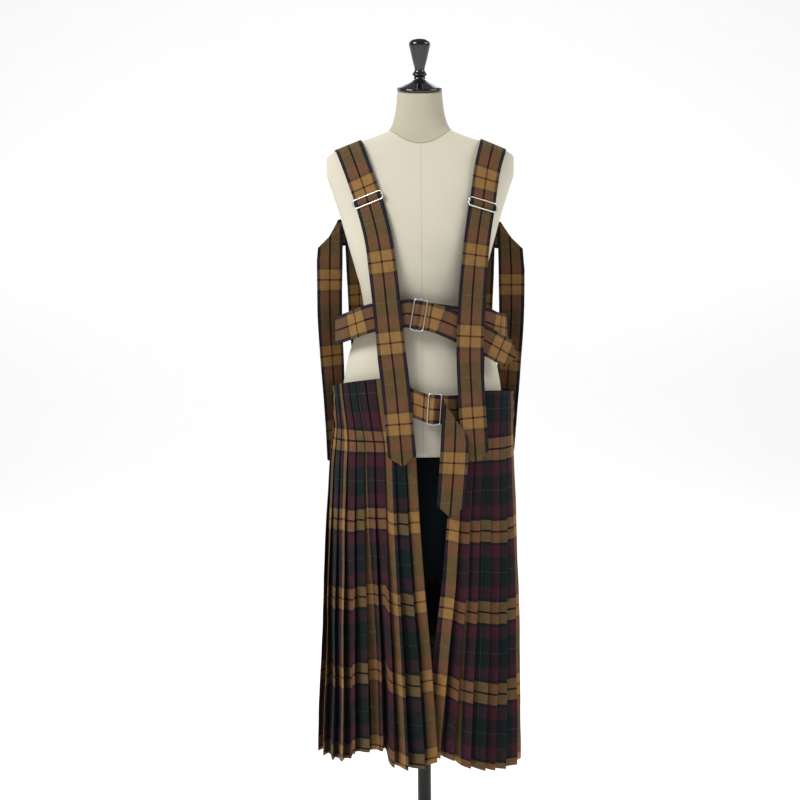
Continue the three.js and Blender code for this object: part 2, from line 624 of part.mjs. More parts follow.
// Rows of a belt that crosses flat over a strap: two places, one to each side of the strap's middle
const CROSSING = 28;
const CROSSING_LIFT = PLY + 0.4;
function rowsOver(strapSections, z, front, lift, order) {
  const { middle, out, across } = sectionNear(strapSections, z, front);
  const face = THREE.MathUtils.radToDeg(Math.atan2(out.x, -out.y));
  const rise = THREE.MathUtils.radToDeg(Math.asin(out.z));
  const sideways = across.x > 0 ? order : -order;
  return [-CROSSING, CROSSING].map((side) => {
    const p = middle.clone().addScaledVector(across, side * sideways).addScaledVector(out, lift);
    return { x: p.x, y: p.y, z: z + (p.z - middle.z), face, rise };
  });
}

// Shoulder straps: sewn inside the back waist, up the back, over the shoulder, through the slider and down to a tip
function shoulderStrap(side, rows, sliderZ, frontRows) {
  const back = SEWN.find((s) => s.name === `back_${side}`);
  const sewnBack = [back.low, back.high].map((z) => sewnSection(back.angle, z, back.out));
  const all = stretch(rows, 4);
  const nearest = sectionNear(stretch(rows, 40), sliderZ, true);
  const slider = { centre: nearest.middle, along: nearest.tangent, out: nearest.out, across: nearest.across };
  const half = SHOULDER_SLIDER_WIDTH / 2;
  const away = (s) => s.middle.clone().sub(slider.centre).dot(slider.along);
  const isBefore = (s) => s.middle.y > -20 || away(s) < -half - 12;
  const before = all.filter(isBefore);
  const after = all.filter((s) => !isBefore(s) && away(s) > half + 12);
  const strap = [...sewnBack, ...before, ...through(slider, half), ...after];
  add(`strap_${side}`, ribbon(strap, { last: true }), "tartan");
  const waist = SEWN.find((s) => s.name === `front_${side}`);
  const sewnFront = [waist.low, waist.high].map((z) => sewnSection(waist.angle, z, waist.out));
  const front = stretch(frontRows, 4);
  add(`strap_front_${side}`, ribbon([...sewnFront, ...front, ...barLoop(slider, half)]), "tartan");
  addSlider(`shoulder_${side}`, slider, SHOULDER_SLIDER_WIDTH);
  return { strap, front };
}
const left = shoulderStrap("left", SHOULDER_LEFT, SHOULDER_SLIDER_LEFT_Z, FRONT_LEFT);
const right = shoulderStrap("right", SHOULDER_RIGHT, SHOULDER_SLIDER_RIGHT_Z, FRONT_RIGHT);

// Upper back belt, flat over the two straps, cut on the slant at the folds where its hanging ends begin
const overLeft = rowsOver(left.strap, BACK_BELT_Z.left, false, CROSSING_LIFT, 1);
const overRight = rowsOver(right.strap, BACK_BELT_Z.right, false, CROSSING_LIFT, 1);
const backRows = [BACK_FOLD_LEFT, ...overLeft, BACK_MIDDLE, ...overRight, BACK_FOLD_RIGHT];
const backSections = stretch(backRows, 3);
backSections[0].slant = BACK_FOLD_LEFT.slant;
backSections.at(-1).slant = BACK_FOLD_RIGHT.slant;
add("back_belt", ribbon(backSections), "tartan");

// A hanging end starts on the same slanted fold line, just in front of the belt
function hangingEnd(side, foldSection, rows) {
  const outward = foldSection.tangent.clone().multiplyScalar(side === "left" ? -1 : 1);
  const top = {
    middle: foldSection.middle.clone().addScaledVector(foldSection.out, -FOLD_SPACE),
    out: foldSection.out.clone().negate(),
    tangent: new THREE.Vector3(0, 0, -1),
    across: new THREE.Vector3().crossVectors(new THREE.Vector3(0, 0, -1), foldSection.out.clone().negate()),
  };
  top.slant = Math.abs(BACK_FOLD_LEFT.slant) * Math.sign(top.across.dot(outward));
  add(`side_tail_${side}`, ribbon([top, ...stretch(rows, 4)], { last: true }), "tartan");
}
hangingEnd("left", backSections[0], SIDE_LEFT);
hangingEnd("right", backSections.at(-1), SIDE_RIGHT);

// Midriff belt: the left half passes through the slider and on as a tail, the right half ends round the bar
function sliderFrom(row) {
  const out = facing(row);
  const tilt = THREE.MathUtils.degToRad(row.tilt);
  const along = new THREE.Vector3(Math.cos(tilt), 0, -Math.sin(tilt));
  along.addScaledVector(out, -along.dot(out)).normalize();
  const centre = new THREE.Vector3(row.x, row.y, row.z);
  return { centre, along, out, across: new THREE.Vector3().crossVectors(along, out) };
}
const beltHalf = BELT_SLIDER_WIDTH / 2;
const midriffSlider = sliderFrom(MIDRIFF_SLIDER);
const leftFront = rowsOver(left.front, MIDRIFF_FRONT_Z.left, true, CROSSING_LIFT, 1);
const midriffLeft = [
  ...MIDRIFF_LEFT_BACK,
  ...rowsOver(left.strap, MIDRIFF_BACK_Z, false, CROSSING_LIFT, -1),
  ...MIDRIFF_LEFT_SIDE,
  ...leftFront,
];
add("midriff_belt_left", ribbon(
  [...stretch(midriffLeft, 2), ...through(midriffSlider, beltHalf), ...stretch(MIDRIFF_TAIL, 3).slice(1)], { last: true },
), "tartan");
const rightFront = rowsOver(right.front, MIDRIFF_FRONT_Z.right, true, CROSSING_LIFT, -1);
const midriffRight = [
  ...MIDRIFF_RIGHT_BACK,
  ...rowsOver(right.strap, MIDRIFF_BACK_Z, false, CROSSING_LIFT, 1),
  ...MIDRIFF_RIGHT_SIDE,
  ...rightFront,
];
add("midriff_belt_right", ribbon([...stretch(midriffRight, 2), ...barLoop(midriffSlider, beltHalf)]), "tartan");
addSlider("midriff", midriffSlider, BELT_SLIDER_WIDTH);

// Waist belt: sewn to both top corners; the left part goes through the slider, folds on the slant and hangs down
function sewnAlong({ from, to, z }, steps) {
  return Array.from({ length: steps + 1 }, (_, k) => {
    const angle = THREE.MathUtils.degToRad(mix(from, to, k / steps));
    const middle = skirtPoint(angle, z, WAIST_OUT);
    const out = skirtPoint(angle, z, WAIST_OUT + 1).sub(middle);
    const tangent = new THREE.Vector3(-out.y, out.x, 0).multiplyScalar(Math.sign(to - from));
    return { middle, out, tangent, across: new THREE.Vector3().crossVectors(tangent, out) };
  });
}
const waistSlider = sliderFrom(WAIST_SLIDER);
const foldOut = facing(WAIST_FOLD);
const foldTurn = THREE.MathUtils.degToRad(WAIST_FOLD.turn);
const sideways = new THREE.Vector3().crossVectors(foldOut, new THREE.Vector3(0, 0, 1)).negate();
const foldAlong = sideways.multiplyScalar(Math.cos(foldTurn)).add(new THREE.Vector3(0, 0, Math.sin(foldTurn)));
const fold = {
  centre: new THREE.Vector3(WAIST_FOLD.x, WAIST_FOLD.y, WAIST_FOLD.z),
  along: foldAlong,
  out: foldOut,
  across: new THREE.Vector3().crossVectors(foldAlong, foldOut),
  wide: STRAP_WIDTH * 1.12,
};
const foldRadius = PLY / 2;
const foldProfile = [[-6, 0], [-foldRadius, 0]];
for (let k = 1; k < 4; k += 1) {
  const angle = -Math.PI / 2 + (Math.PI * k) / 4;
  foldProfile.push([-foldRadius + foldRadius * Math.cos(angle), foldRadius + foldRadius * Math.sin(angle)]);
}
foldProfile.push([-foldRadius, PLY], [-6, PLY]);
add("waist_belt_left", ribbon([
  ...sewnAlong(WAIST_LEFT_SEWN, 2), ...through(waistSlider, beltHalf), ...local(fold, foldProfile),
  ...stretch(WAIST_TAIL, 5).map((s) => ({ ...s, out: s.out.clone().negate(), across: s.across.clone().negate() })),
], { last: true }), "tartan");
add("waist_belt_right", ribbon([...sewnAlong(WAIST_RIGHT_SEWN, 3), ...barLoop(waistSlider, beltHalf)]), "tartan");
addSlider("waist", waistSlider, BELT_SLIDER_WIDTH);

export default group;
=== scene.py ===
import math

import bpy
import numpy as np
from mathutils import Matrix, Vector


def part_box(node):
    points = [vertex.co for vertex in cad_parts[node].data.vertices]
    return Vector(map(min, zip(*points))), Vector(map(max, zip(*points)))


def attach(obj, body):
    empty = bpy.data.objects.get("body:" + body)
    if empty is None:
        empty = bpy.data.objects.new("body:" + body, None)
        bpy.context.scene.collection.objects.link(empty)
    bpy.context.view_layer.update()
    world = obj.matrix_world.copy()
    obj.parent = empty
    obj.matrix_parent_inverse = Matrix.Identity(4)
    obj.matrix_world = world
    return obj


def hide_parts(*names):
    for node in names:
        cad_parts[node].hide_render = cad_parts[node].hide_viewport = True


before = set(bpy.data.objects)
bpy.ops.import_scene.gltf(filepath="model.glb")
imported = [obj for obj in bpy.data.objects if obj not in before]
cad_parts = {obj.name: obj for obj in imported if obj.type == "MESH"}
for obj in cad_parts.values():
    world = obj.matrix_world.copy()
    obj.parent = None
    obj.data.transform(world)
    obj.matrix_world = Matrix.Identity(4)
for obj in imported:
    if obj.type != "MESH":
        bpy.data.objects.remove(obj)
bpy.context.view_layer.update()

# Floor plate
# A round cast plate, turned to a shallow cone with a boss and a socket for the pole, and painted black.
# It stands flat on the floor and carries everything else.
PLATE_PROFILE = np.array([
    (0, 0), (0.166, 0), (0.1695, 0.0012), (0.170, 0.004), (0.170, 0.008), (0.1685, 0.0098), (0.150, 0.013),
    (0.095, 0.0166), (0.040, 0.0200), (0.030, 0.0215), (0.024, 0.0242), (0.0222, 0.030), (0.022, 0.045),
    (0.022, 0.0600), (0.0212, 0.0617), (0.0195, 0.062), (0, 0.062),
])
TURNED_SIDES = 96


def faces_of(rows, columns, closed=False):
    """Quads of a grid, row by row: each joins a point with the next in its row and both with the row above."""
    last = columns if closed else columns - 1
    i, j = np.meshgrid(np.arange(rows - 1), np.arange(last), indexing="ij")
    k = (j + 1) % columns
    corners = [i * columns + j, i * columns + k, (i + 1) * columns + k, (i + 1) * columns + j]
    return np.stack(corners, -1).reshape(-1, 4)


def new_mesh(name, points, faces, material, uv=None):
    """An object from points (n, 3) and quads; uv gives each point its place on the cloth in millimetres."""
    points = np.asarray(points, float).reshape(-1, 3)
    faces = np.asarray(faces)
    mesh = bpy.data.meshes.new(name)
    mesh.vertices.add(len(points))
    mesh.vertices.foreach_set("co", points.ravel())
    mesh.loops.add(faces.size)
    mesh.loops.foreach_set("vertex_index", faces.ravel())
    mesh.polygons.add(len(faces))
    mesh.polygons.foreach_set("loop_start", np.arange(len(faces)) * faces.shape[1])
    mesh.update(calc_edges=True)
    if uv is not None:
        layer = mesh.uv_layers.new(name="cloth")
        layer.data.foreach_set("uv", np.asarray(uv, float).reshape(-1, 2)[faces.ravel()].ravel())
    mesh.polygons.foreach_set("use_smooth", np.full(len(faces), True))
    mesh.materials.append(material)
    piece = bpy.data.objects.new(name, mesh)
    bpy.context.scene.collection.objects.link(piece)
    return piece


def turned(name, profile, material, tilt=0.0, seat=(0, 0, 0), sides=TURNED_SIDES):
    """Revolves (radius, height) about the upright axis, leans the axis back by tilt and seats it at a point."""
    angle = np.linspace(0, 2 * np.pi, sides, endpoint=False)
    radius = np.maximum(profile[:, :1], 1e-5)
    points = np.stack([radius * np.cos(angle), radius * np.sin(angle), profile[:, 1:] + 0 * angle], -1)
    y = points[..., 1] * math.cos(tilt) - points[..., 2] * math.sin(tilt)
    z = points[..., 1] * math.sin(tilt) + points[..., 2] * math.cos(tilt)
    points = np.stack([points[..., 0], y, z], -1) + np.asarray(seat)
    return new_mesh(name, points, faces_of(len(profile), sides, closed=True), material)


def rounded(profile, radius, steps=5):
    """Rounds each inner corner of a profile: two points a radius away, joined by a quadratic arc."""
    before, corner, after = profile[:-2], profile[1:-1], profile[2:]
    first = before - corner
    second = after - corner
    reach_a = np.minimum(radius, 0.45 * np.linalg.norm(first, axis=1, keepdims=True))
    reach_b = np.minimum(radius, 0.45 * np.linalg.norm(second, axis=1, keepdims=True))
    a = corner + first / np.linalg.norm(first, axis=1, keepdims=True) * reach_a
    b = corner + second / np.linalg.norm(second, axis=1, keepdims=True) * reach_b
    t = np.linspace(0, 1, steps)[None, :, None]
    arcs = (1 - t) ** 2 * a[:, None] + 2 * t * (1 - t) * corner[:, None] + t ** 2 * b[:, None]
    return np.vstack([profile[:1], arcs.reshape(-1, 2), profile[-1:]])


class Nodes:
    """Adds shader nodes to one tree. An input is linked where a socket is given, and set where a value is."""

    def __init__(self, tree):
        self.tree = tree

    def feed(self, node, inputs):
        for socket, source in dict(inputs).items():
            if hasattr(source, "links"):
                self.tree.links.new(source, node.inputs[socket])
            else:
                node.inputs[socket].default_value = source

    def put(self, kind, inputs=(), **settings):
        node = self.tree.nodes.new("ShaderNode" + kind)
        for key, value in settings.items():
            setattr(node, key, value)
        self.feed(node, inputs)
        return node

    def maths(self, operation, *values):
        return self.put("Math", dict(enumerate(values)), operation=operation).outputs[0]

    def blend(self, share, one, two):
        return self.put("Mix", {0: share, 6: one, 7: two}, data_type="RGBA").outputs[2]

    def scaled(self, colour, factor):
        return self.put("VectorMath", {0: colour, 1: factor}, operation="MULTIPLY").outputs[0]

    def ranged(self, value, low, high, to_low, to_high):
        limits = {"Value": value, "From Min": low, "From Max": high, "To Min": to_low, "To Max": to_high}
        return self.put("MapRange", limits).outputs["Result"]

    def relief(self, height, strength, distance):
        bump = self.put("Bump", {"Height": height, "Strength": strength, "Distance": distance})
        return bump.outputs["Normal"]


def node_material(name, **values):
    """A material with one Principled shader, whose plain sockets are set by values."""
    material = bpy.data.materials.new(name)
    material.use_nodes = True
    shader = next(n for n in material.node_tree.nodes if n.type == "BSDF_PRINCIPLED")
    for socket, value in values.items():
        shader.inputs[socket.replace("_", " ")].default_value = value
    return material, shader, Nodes(material.node_tree)


def node_group(name, inputs, outputs):
    """An empty node group: the group, its nodes, the sockets that come in and the node that puts out."""
    group = bpy.data.node_groups.new(name, "ShaderNodeTree")
    for way, sockets in (("INPUT", inputs), ("OUTPUT", outputs)):
        for socket, kind in sockets.items():
            group.interface.new_socket(socket, in_out=way, socket_type="NodeSocket" + kind)
    entry, leave = group.nodes.new("NodeGroupInput"), group.nodes.new("NodeGroupOutput")
    return group, Nodes(group), entry.outputs, leave


def worn_paint_group():
    """Coarse and fine noise on a 3-D place give a mask of rubbed spots and a height of fine grain."""
    group, nodes, entry, leave = node_group(
        "worn_paint", {"Place": "Vector", "Spots": "Float"}, {"Mask": "Float", "Grain": "Float"})
    coarse = nodes.put("TexNoise", {"Vector": entry["Place"], "Scale": entry["Spots"], "Detail": 5})
    fine = nodes.put("TexNoise", {"Vector": entry["Place"], "Scale": 900})
    mask = nodes.ranged(coarse.outputs["Fac"], 0.5, 0.72, 0, 1)
    nodes.feed(leave, {"Mask": mask, "Grain": fine.outputs["Fac"]})
    return group


worn_paint = worn_paint_group()


def painted(name, base, rubbed, rough, rubbed_rough, spots, grain, **values):
    """Paint rubbed towards a second colour in spots, its roughness changing with it, with a fine grain."""
    material, shader, nodes = node_material(name, **values)
    place = nodes.put("TexCoord").outputs["Object"]
    wear = nodes.put("Group", {"Place": place, "Spots": spots}, node_tree=worn_paint).outputs
    nodes.feed(shader, {
        "Base Color": nodes.blend(wear["Mask"], (*base, 1), (*rubbed, 1)),
        "Roughness": nodes.ranged(wear["Mask"], 0, 1, rough, rubbed_rough),
        "Normal": nodes.relief(wear["Grain"], grain, 0.0004),
    })
    return material


def stands_for(piece, node):
    """Hides the CAD part that a piece stands for. All ride on the one body."""
    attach(piece, "root")
    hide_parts(node)


plate_paint = painted("plate_paint", (0.018, 0.018, 0.019), (0.045, 0.044, 0.043), 0.38, 0.55, 22, 0.25)
plate = turned("plate", PLATE_PROFILE, plate_paint)
stands_for(plate, "base")

# Pole
# A straight steel tube painted black, standing in the plate's socket and running up into the form.
# It is a little worn where the form has been slid up and down.
pole_low, pole_high = np.array(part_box("pole"))
POLE_RADIUS = (pole_high[0] - pole_low[0]) / 2
pole_rise = np.linspace(pole_low[2], pole_high[2], 40)[:, None]
pole_profile = np.hstack([np.full_like(pole_rise, POLE_RADIUS), pole_rise])
pole_profile = np.vstack([[0, pole_low[2]], pole_profile, [0, pole_high[2]]])
pole_paint = painted("pole_paint", (0.014, 0.015, 0.012), (0.030, 0.032, 0.028), 0.42, 0.6, 30, 0.2,
                     Specular_IOR_Level=0.3)
pole_tube = turned("pole_tube", pole_profile, pole_paint, sides=64)
stands_for(pole_tube, "pole")

# Dress form
# A limbless shell covered with cream stretch cloth, sewn with one seam round the foot of the neck and a
# fine one down the middle of the chest. Below the hip the same shell is covered in black.
FORM = np.array([  # height, half width, reach to the front, reach to the back, in millimetres
    (873, 168, 104, 112), (936, 167, 105, 114), (996, 162, 103, 111), (1063, 150, 96, 100), (1114, 133, 88, 90),
    (1158, 116, 83, 82), (1200, 121, 90, 83), (1242, 132, 101, 87), (1292, 146, 106, 92), (1350, 162, 97, 95),
    (1400, 178, 84, 94), (1435, 188, 72, 86), (1464, 188, 62, 74), (1480, 168, 56, 66), (1493, 134, 53, 61),
    (1506, 92, 51, 57), (1520, 62, 49, 54), (1540, 52.5, 46, 49), (1565, 47.5, 45, 46), (1597, 44.5, 43, 43),
]) * 0.001
LOWER = np.array([(631, 158, 98, 104), (752, 166, 103, 111), (872.7, 167, 103, 111)]) * 0.001
NECK_TILT = math.radians(17)
NECK_FOOT, NECK_TOP = 1.520, 1.597
FORM_SIDES = 192
SQUARED = 0.92  # power of the rings' cosine and sine: below 1 they are a little squarer than an ellipse
# the neck's colour is the chest's times this: painted shade on the neck
NECK_SHADE_TINT = (0.77, 0.75, 0.71)
# The neck seam's height: in front at the middle and its growth with x squared, behind at y = 0 and its slope
SEAM_FRONT, SEAM_BOW = 1.487, 8.3
SEAM_BACK, SEAM_RISE = 1.5185, 0.3


def smooth_step(t):
    """0 below 0, 1 above 1, and 3t^2 - 2t^3 between."""
    t = np.clip(t, 0, 1)
    return t * t * (3 - 2 * t)


def soft_rows(table, steps):
    """Rows through a table by its first column: cubics with limited slopes, so none swells past its ends."""
    x = table[:, 0]
    slope = np.diff(table[:, 1:], axis=0) / np.diff(x)[:, None]
    same_way = slope[1:] * slope[:-1] > 0
    middle = np.where(same_way, 2 * slope[1:] * slope[:-1] / np.where(same_way, slope[1:] + slope[:-1], 1), 0)
    tangent = np.vstack([slope[:1], middle, slope[-1:]])
    at = np.concatenate([np.linspace(a, b, steps, endpoint=False) for a, b in zip(x[:-1], x[1:])] + [x[-1:]])
    k = np.clip(np.searchsorted(x, at, side="right") - 1, 0, len(x) - 2)
    step = (x[k + 1] - x[k])[:, None]
    t = ((at - x[k])[:, None]) / step
    value = (
        (2 * t ** 3 - 3 * t ** 2 + 1) * table[k, 1:] + (t ** 3 - 2 * t ** 2 + t) * step * tangent[k]
        + (3 * t ** 2 - 2 * t ** 3) * table[k + 1, 1:] + (t ** 3 - t ** 2) * step * tangent[k + 1]
    )
    return np.hstack([at[:, None], value])


def form_rings(table, steps):
    """A squared oval at each row: half width across, front or back reach in depth. The neck's rings lean by
    the tangent of the tilt times their depth, growing from the neck's foot to its top."""
    rows = soft_rows(table, steps)
    angle = np.linspace(0, 2 * np.pi, FORM_SIDES, endpoint=False)
    c, s = np.cos(angle), np.sin(angle)
    depth = np.where(s < 0, rows[:, 2:3], rows[:, 3:4])
    x = rows[:, 1:2] * np.sign(c) * np.abs(c) ** SQUARED
    y = depth * np.sign(s) * np.abs(s) ** SQUARED
    lean = math.tan(NECK_TILT) * smooth_step((rows[:, :1] - NECK_FOOT) / (NECK_TOP - NECK_FOOT))
    return np.stack([x, y, rows[:, :1] + y * lean], -1)


def closed_body(name, rings, material):
    """Rings closed at both ends by a last ring drawn in to the middle of each end."""
    ends = rings[[0, -1]]
    centres = ends.mean(1, keepdims=True)
    drawn_in = centres + 1e-4 * (ends - centres)
    grid = np.concatenate([drawn_in[:1], rings, drawn_in[1:]])
    return new_mesh(name, grid, faces_of(len(grid), grid.shape[1], closed=True), material)


def stretch_cloth(name, shade, seam_shade, sheen, gloss):
    """Fine knitted cloth over a shell: rows of loops, a faint cloudy shade, and darker seams along the neck's
    foot and down the middle, read from the place on the object."""
    material, shader, nodes = node_material(name, Roughness=0.82, Sheen_Weight=sheen, Sheen_Roughness=0.5,
                                            Specular_IOR_Level=gloss)
    place = nodes.put("TexCoord").outputs["Object"]
    x, y, z = nodes.put("SeparateXYZ", {"Vector": place}).outputs
    clouds = nodes.put("TexNoise", {"Vector": place, "Scale": 9, "Detail": 3}).outputs["Fac"]
    waves = {"Vector": place, "Scale": 420, "Distortion": 2.0, "Detail": 1}
    knit = nodes.put("TexWave", waves, bands_direction="Z").outputs["Fac"]
    # neck seam: in front its height grows with the square of the way out from the middle, behind with depth
    front_height = nodes.maths("MULTIPLY_ADD", nodes.maths("MULTIPLY", x, x), SEAM_BOW, SEAM_FRONT)
    back_height = nodes.maths("MULTIPLY_ADD", y, SEAM_RISE, SEAM_BACK)
    behind = nodes.maths("GREATER_THAN", y, 0.0)
    seam_height = nodes.put("Mix", {0: behind, 2: front_height, 3: back_height}, data_type="FLOAT").outputs[0]
    over_seam = nodes.maths("SUBTRACT", z, seam_height)
    neck_line = nodes.ranged(nodes.maths("ABSOLUTE", over_seam), 0.0005, 0.0014, 1, 0)
    # middle seam: the plane x = 0 below the neck seam, drawn fainter
    middle_line = nodes.ranged(nodes.maths("ABSOLUTE", x), 0.0003, 0.0011, 1, 0)
    chest_line = nodes.maths("MULTIPLY", nodes.maths("LESS_THAN", over_seam, 0.0), middle_line)
    seams = nodes.maths("MAXIMUM", neck_line, nodes.maths("MULTIPLY", chest_line, 0.35))
    # painted shade: the neck is drawn a little darker and warmer than the chest
    on_neck = nodes.maths("GREATER_THAN", over_seam, 0.0)
    neck_shaded = [part * tint for part, tint in zip(shade, NECK_SHADE_TINT)]
    tinted = nodes.blend(on_neck, (*shade, 1), (*neck_shaded, 1))
    cloudy = nodes.scaled(tinted, nodes.ranged(clouds, 0, 1, 0.94, 1.05))
    loops = nodes.maths("MULTIPLY_ADD", seams, -3.0, knit)
    nodes.feed(shader, {"Base Color": nodes.blend(seams, cloudy, (*seam_shade, 1)),
                        "Normal": nodes.relief(loops, 0.25, 0.0003)})
    return material


cream_cloth = stretch_cloth("cream_stretch_cloth", (0.685, 0.638, 0.512), (0.36, 0.28, 0.20), 0.05, 0.3)
black_cloth = stretch_cloth("black_stretch_cloth", (0.003, 0.0055, 0.007), (0.003, 0.004, 0.005), 0.0, 0.05)
form_shell = closed_body("form_shell", form_rings(FORM, 6), cream_cloth)
stands_for(form_shell, "form_torso")
form_foot = closed_body("form_foot", form_rings(LOWER, 12), black_cloth)
stands_for(form_foot, "form_lower")

# Neck cap and finial
# Wood turned on a lathe and lacquered glossy black: a low cone that covers the top of the neck, and a
# handle with a flared head, a thin neck and one bead, screwed into the cone. Both lean with the neck.
CAP_PROFILE = np.array([
    (0, 0), (43.5, 0), (45.5, 1.5), (46, 5.5), (44, 8), (15, 21), (14, 22), (0, 22),
]) * 0.001
FINIAL_PROFILE = np.array([
    (0, 0), (12, 0), (12.5, 2), (10.5, 4.5), (13, 7), (16, 10), (13, 13), (10, 17), (10, 20), (12.2, 28),
    (15, 38), (19.8, 58), (21.7, 67), (20.5, 71.5), (14, 76.5), (6, 78.6), (0, 79),
]) * 0.001
lacquer = painted("black_lacquer", (0.003, 0.003, 0.004), (0.007, 0.007, 0.008), 0.10, 0.16, 40, 0.02,
                  Coat_Weight=0.6, Coat_Roughness=0.05)
GAP = 0.0003
CAP_HEIGHT = 0.022
cap_seat = np.array([0, 0, NECK_TOP + GAP / math.cos(NECK_TILT)])
cap_up = np.array([0, -math.sin(NECK_TILT), math.cos(NECK_TILT)])
neck_lid = turned("neck_lid", rounded(CAP_PROFILE, 0.0022), lacquer, NECK_TILT, cap_seat)
stands_for(neck_lid, "neck_cap")
handle_seat = cap_seat + (CAP_HEIGHT + GAP) * cap_up
handle = turned("handle", rounded(FINIAL_PROFILE, 0.0032), lacquer, NECK_TILT, handle_seat)
stands_for(handle, "finial")

# Tartan
# One woollen twill woven with the same sett both ways: mustard with a fine dark line, navy, burgundy and
# green with a fine light line. Where two colours cross, the yarns lie half and half in diagonal ribs.
SETT = 158.0  # one repeat of the sett in millimetres; each stripe below is given with its width in it
MUSTARD, DARK, NAVY = (0.285, 0.152, 0.050), (0.004, 0.0015, 0.002), (0.007, 0.009, 0.016)
BURGUNDY, GREEN, PALE_GREEN = (0.047, 0.0125, 0.019), (0.006, 0.012, 0.0125), (0.045, 0.070, 0.062)
STRIPES = [
    (1.1, NAVY), (19.2, MUSTARD), (3.4, DARK), (19.2, MUSTARD), (6.6, NAVY), (23.0, BURGUNDY), (28.0, GREEN),
    (1.0, PALE_GREEN), (28.0, GREEN), (23.0, BURGUNDY), (5.5, NAVY),
]
MUSTARD_MIDDLE = 22.0  # where in the sett the middle of the mustard lies


def tartan_group():
    """Takes a place on the cloth in millimetres, across and along. Each way's place within the sett picks its
    stripe from a stepped ramp; diagonal ribs choose which of the two yarns lies on top, and streaks along each
    yarn change its shade a little. Gives the colour, the ribs' height and a mask of fuzz."""
    group, nodes, entry, leave = node_group(
        "tartan_weave", {"Across": "Float", "Along": "Float", "Rib": "Float"},
        {"Color": "Color", "Height": "Float", "Fuzz": "Float"})

    def yarn(way, other, seed):
        inside = nodes.maths("FRACT", nodes.maths("DIVIDE", entry[way], SETT))
        ramp = nodes.put("ValToRGB", {"Fac": inside})
        ramp.color_ramp.interpolation = "CONSTANT"
        elements = ramp.color_ramp.elements
        elements.remove(elements[1])
        start = 0.0
        for k, (width, colour) in enumerate(STRIPES):
            element = elements[0] if k == 0 else elements.new(start / SETT)
            element.position = start / SETT
            element.color = (*colour, 1)
            start += width
        # one value for each yarn, half a millimetre apart, changing slowly along it
        thread, slow = nodes.maths("MULTIPLY", entry[way], 1.7), nodes.maths("MULTIPLY", entry[other], 0.035)
        at = nodes.put("CombineXYZ", {0: thread, 1: slow, 2: seed}).outputs[0]
        streak = nodes.put("TexNoise", {"Vector": at, "Scale": 1.0, "Detail": 2}).outputs["Fac"]
        return nodes.scaled(ramp.outputs["Color"], nodes.ranged(streak, 0.25, 0.75, 0.80, 1.20))

    warp, weft = yarn("Across", "Along", 3.0), yarn("Along", "Across", 11.0)
    # ribs: a soft wave of the sum of both ways
    turns = nodes.maths("DIVIDE", nodes.maths("ADD", entry["Across"], entry["Along"]), entry["Rib"])
    wave = nodes.maths("SINE", nodes.maths("MULTIPLY", turns, 2 * math.pi))
    ribbed = nodes.blend(nodes.ranged(wave, -0.5, 0.5, 0, 1), warp, weft)
    # the yarns sink into each other: part of the colour is the geometric mean of both, which is darker
    product = nodes.put("SeparateXYZ", {"Vector": nodes.scaled(warp, weft)}).outputs
    roots = {k: nodes.maths("SQRT", channel) for k, channel in enumerate(product)}
    sunk = nodes.put("CombineXYZ", roots).outputs[0]
    # the height adds fine ridges across the cloth to the ribs
    ridges = nodes.maths("SINE", nodes.maths("MULTIPLY", entry["Along"], 11.0))
    at = nodes.put("CombineXYZ", {0: entry["Across"], 1: entry["Along"]}).outputs[0]
    nodes.feed(leave, {
        "Color": nodes.blend(0.30, ribbed, sunk),
        "Height": nodes.maths("MULTIPLY_ADD", ridges, 0.35, wave),
        "Fuzz": nodes.put("TexNoise", {"Vector": at, "Scale": 0.09, "Detail": 6}).outputs["Fac"],
    })
    return group


tartan_weave = tartan_group()
STITCH_LINE, STITCH_THREAD = 24.0, (0.035, 0.030, 0.038)


def tartan(name, stitched, shade=1.0):
    """Tartan on the piece's own cloth map. Stitched cloth has a row of stitches near both long edges, drawn as
    short dips along the cloth; its map runs half a strap's width to each side of the mustard's middle. On cloth
    without them an occlusion mask darkens the hollows between the pleats, tuned to the photo's shadows."""
    material, shader, nodes = node_material(name, Roughness=0.88, Specular_IOR_Level=0.12, Sheen_Weight=0.02,
                                            Sheen_Roughness=0.6)
    cloth = nodes.put("UVMap", uv_map="cloth")
    across, along, _ = nodes.put("SeparateXYZ", {"Vector": cloth.outputs[0]}).outputs
    weave = nodes.put("Group", {"Across": across, "Along": along, "Rib": 3.0}, node_tree=tartan_weave).outputs
    # a shade below 1 darkens the whole colour: painted shade
    fade = nodes.ranged(weave["Fuzz"], 0.3, 0.7, 0.90 * shade, 1.10 * shade)
    colour, height = nodes.scaled(weave["Color"], fade), weave["Height"]
    if stitched:
        off_middle = nodes.maths("ABSOLUTE", nodes.maths("SUBTRACT", across, MUSTARD_MIDDLE))
        line = nodes.maths("COMPARE", off_middle, STITCH_LINE, 0.5)
        beat = nodes.maths("FRACT", nodes.maths("MULTIPLY", along, 0.36))
        stitch = nodes.maths("MULTIPLY", line, nodes.maths("LESS_THAN", beat, 0.68))
        colour = nodes.blend(stitch, colour, (*STITCH_THREAD, 1))
        height = nodes.maths("MULTIPLY_ADD", stitch, -2.5, height)
    else:
        hollow = nodes.put("AmbientOcclusion", {"Distance": 0.020}, samples=6, only_local=True)
        colour = nodes.scaled(colour, nodes.ranged(hollow.outputs["AO"], 0.30, 0.90, 0.25, 1.06))
    nodes.feed(shader, {"Base Color": colour, "Normal": nodes.relief(height, 0.22, 0.0003),
                        "Roughness": nodes.ranged(weave["Fuzz"], 0, 1, 0.80, 0.95)})
    return material


skirt_tartan = tartan("skirt_tartan", stitched=False)
# The reverse is shown at about a fifth of the brightness, painted shade for the inside of the skirt: a guess, as
# the photo hardly shows the skirt's inside
skirt_reverse_shaded = tartan("skirt_tartan_reverse_shaded", stitched=False, shade=0.22)
strap_tartan = tartan("strap_tartan", stitched=True)

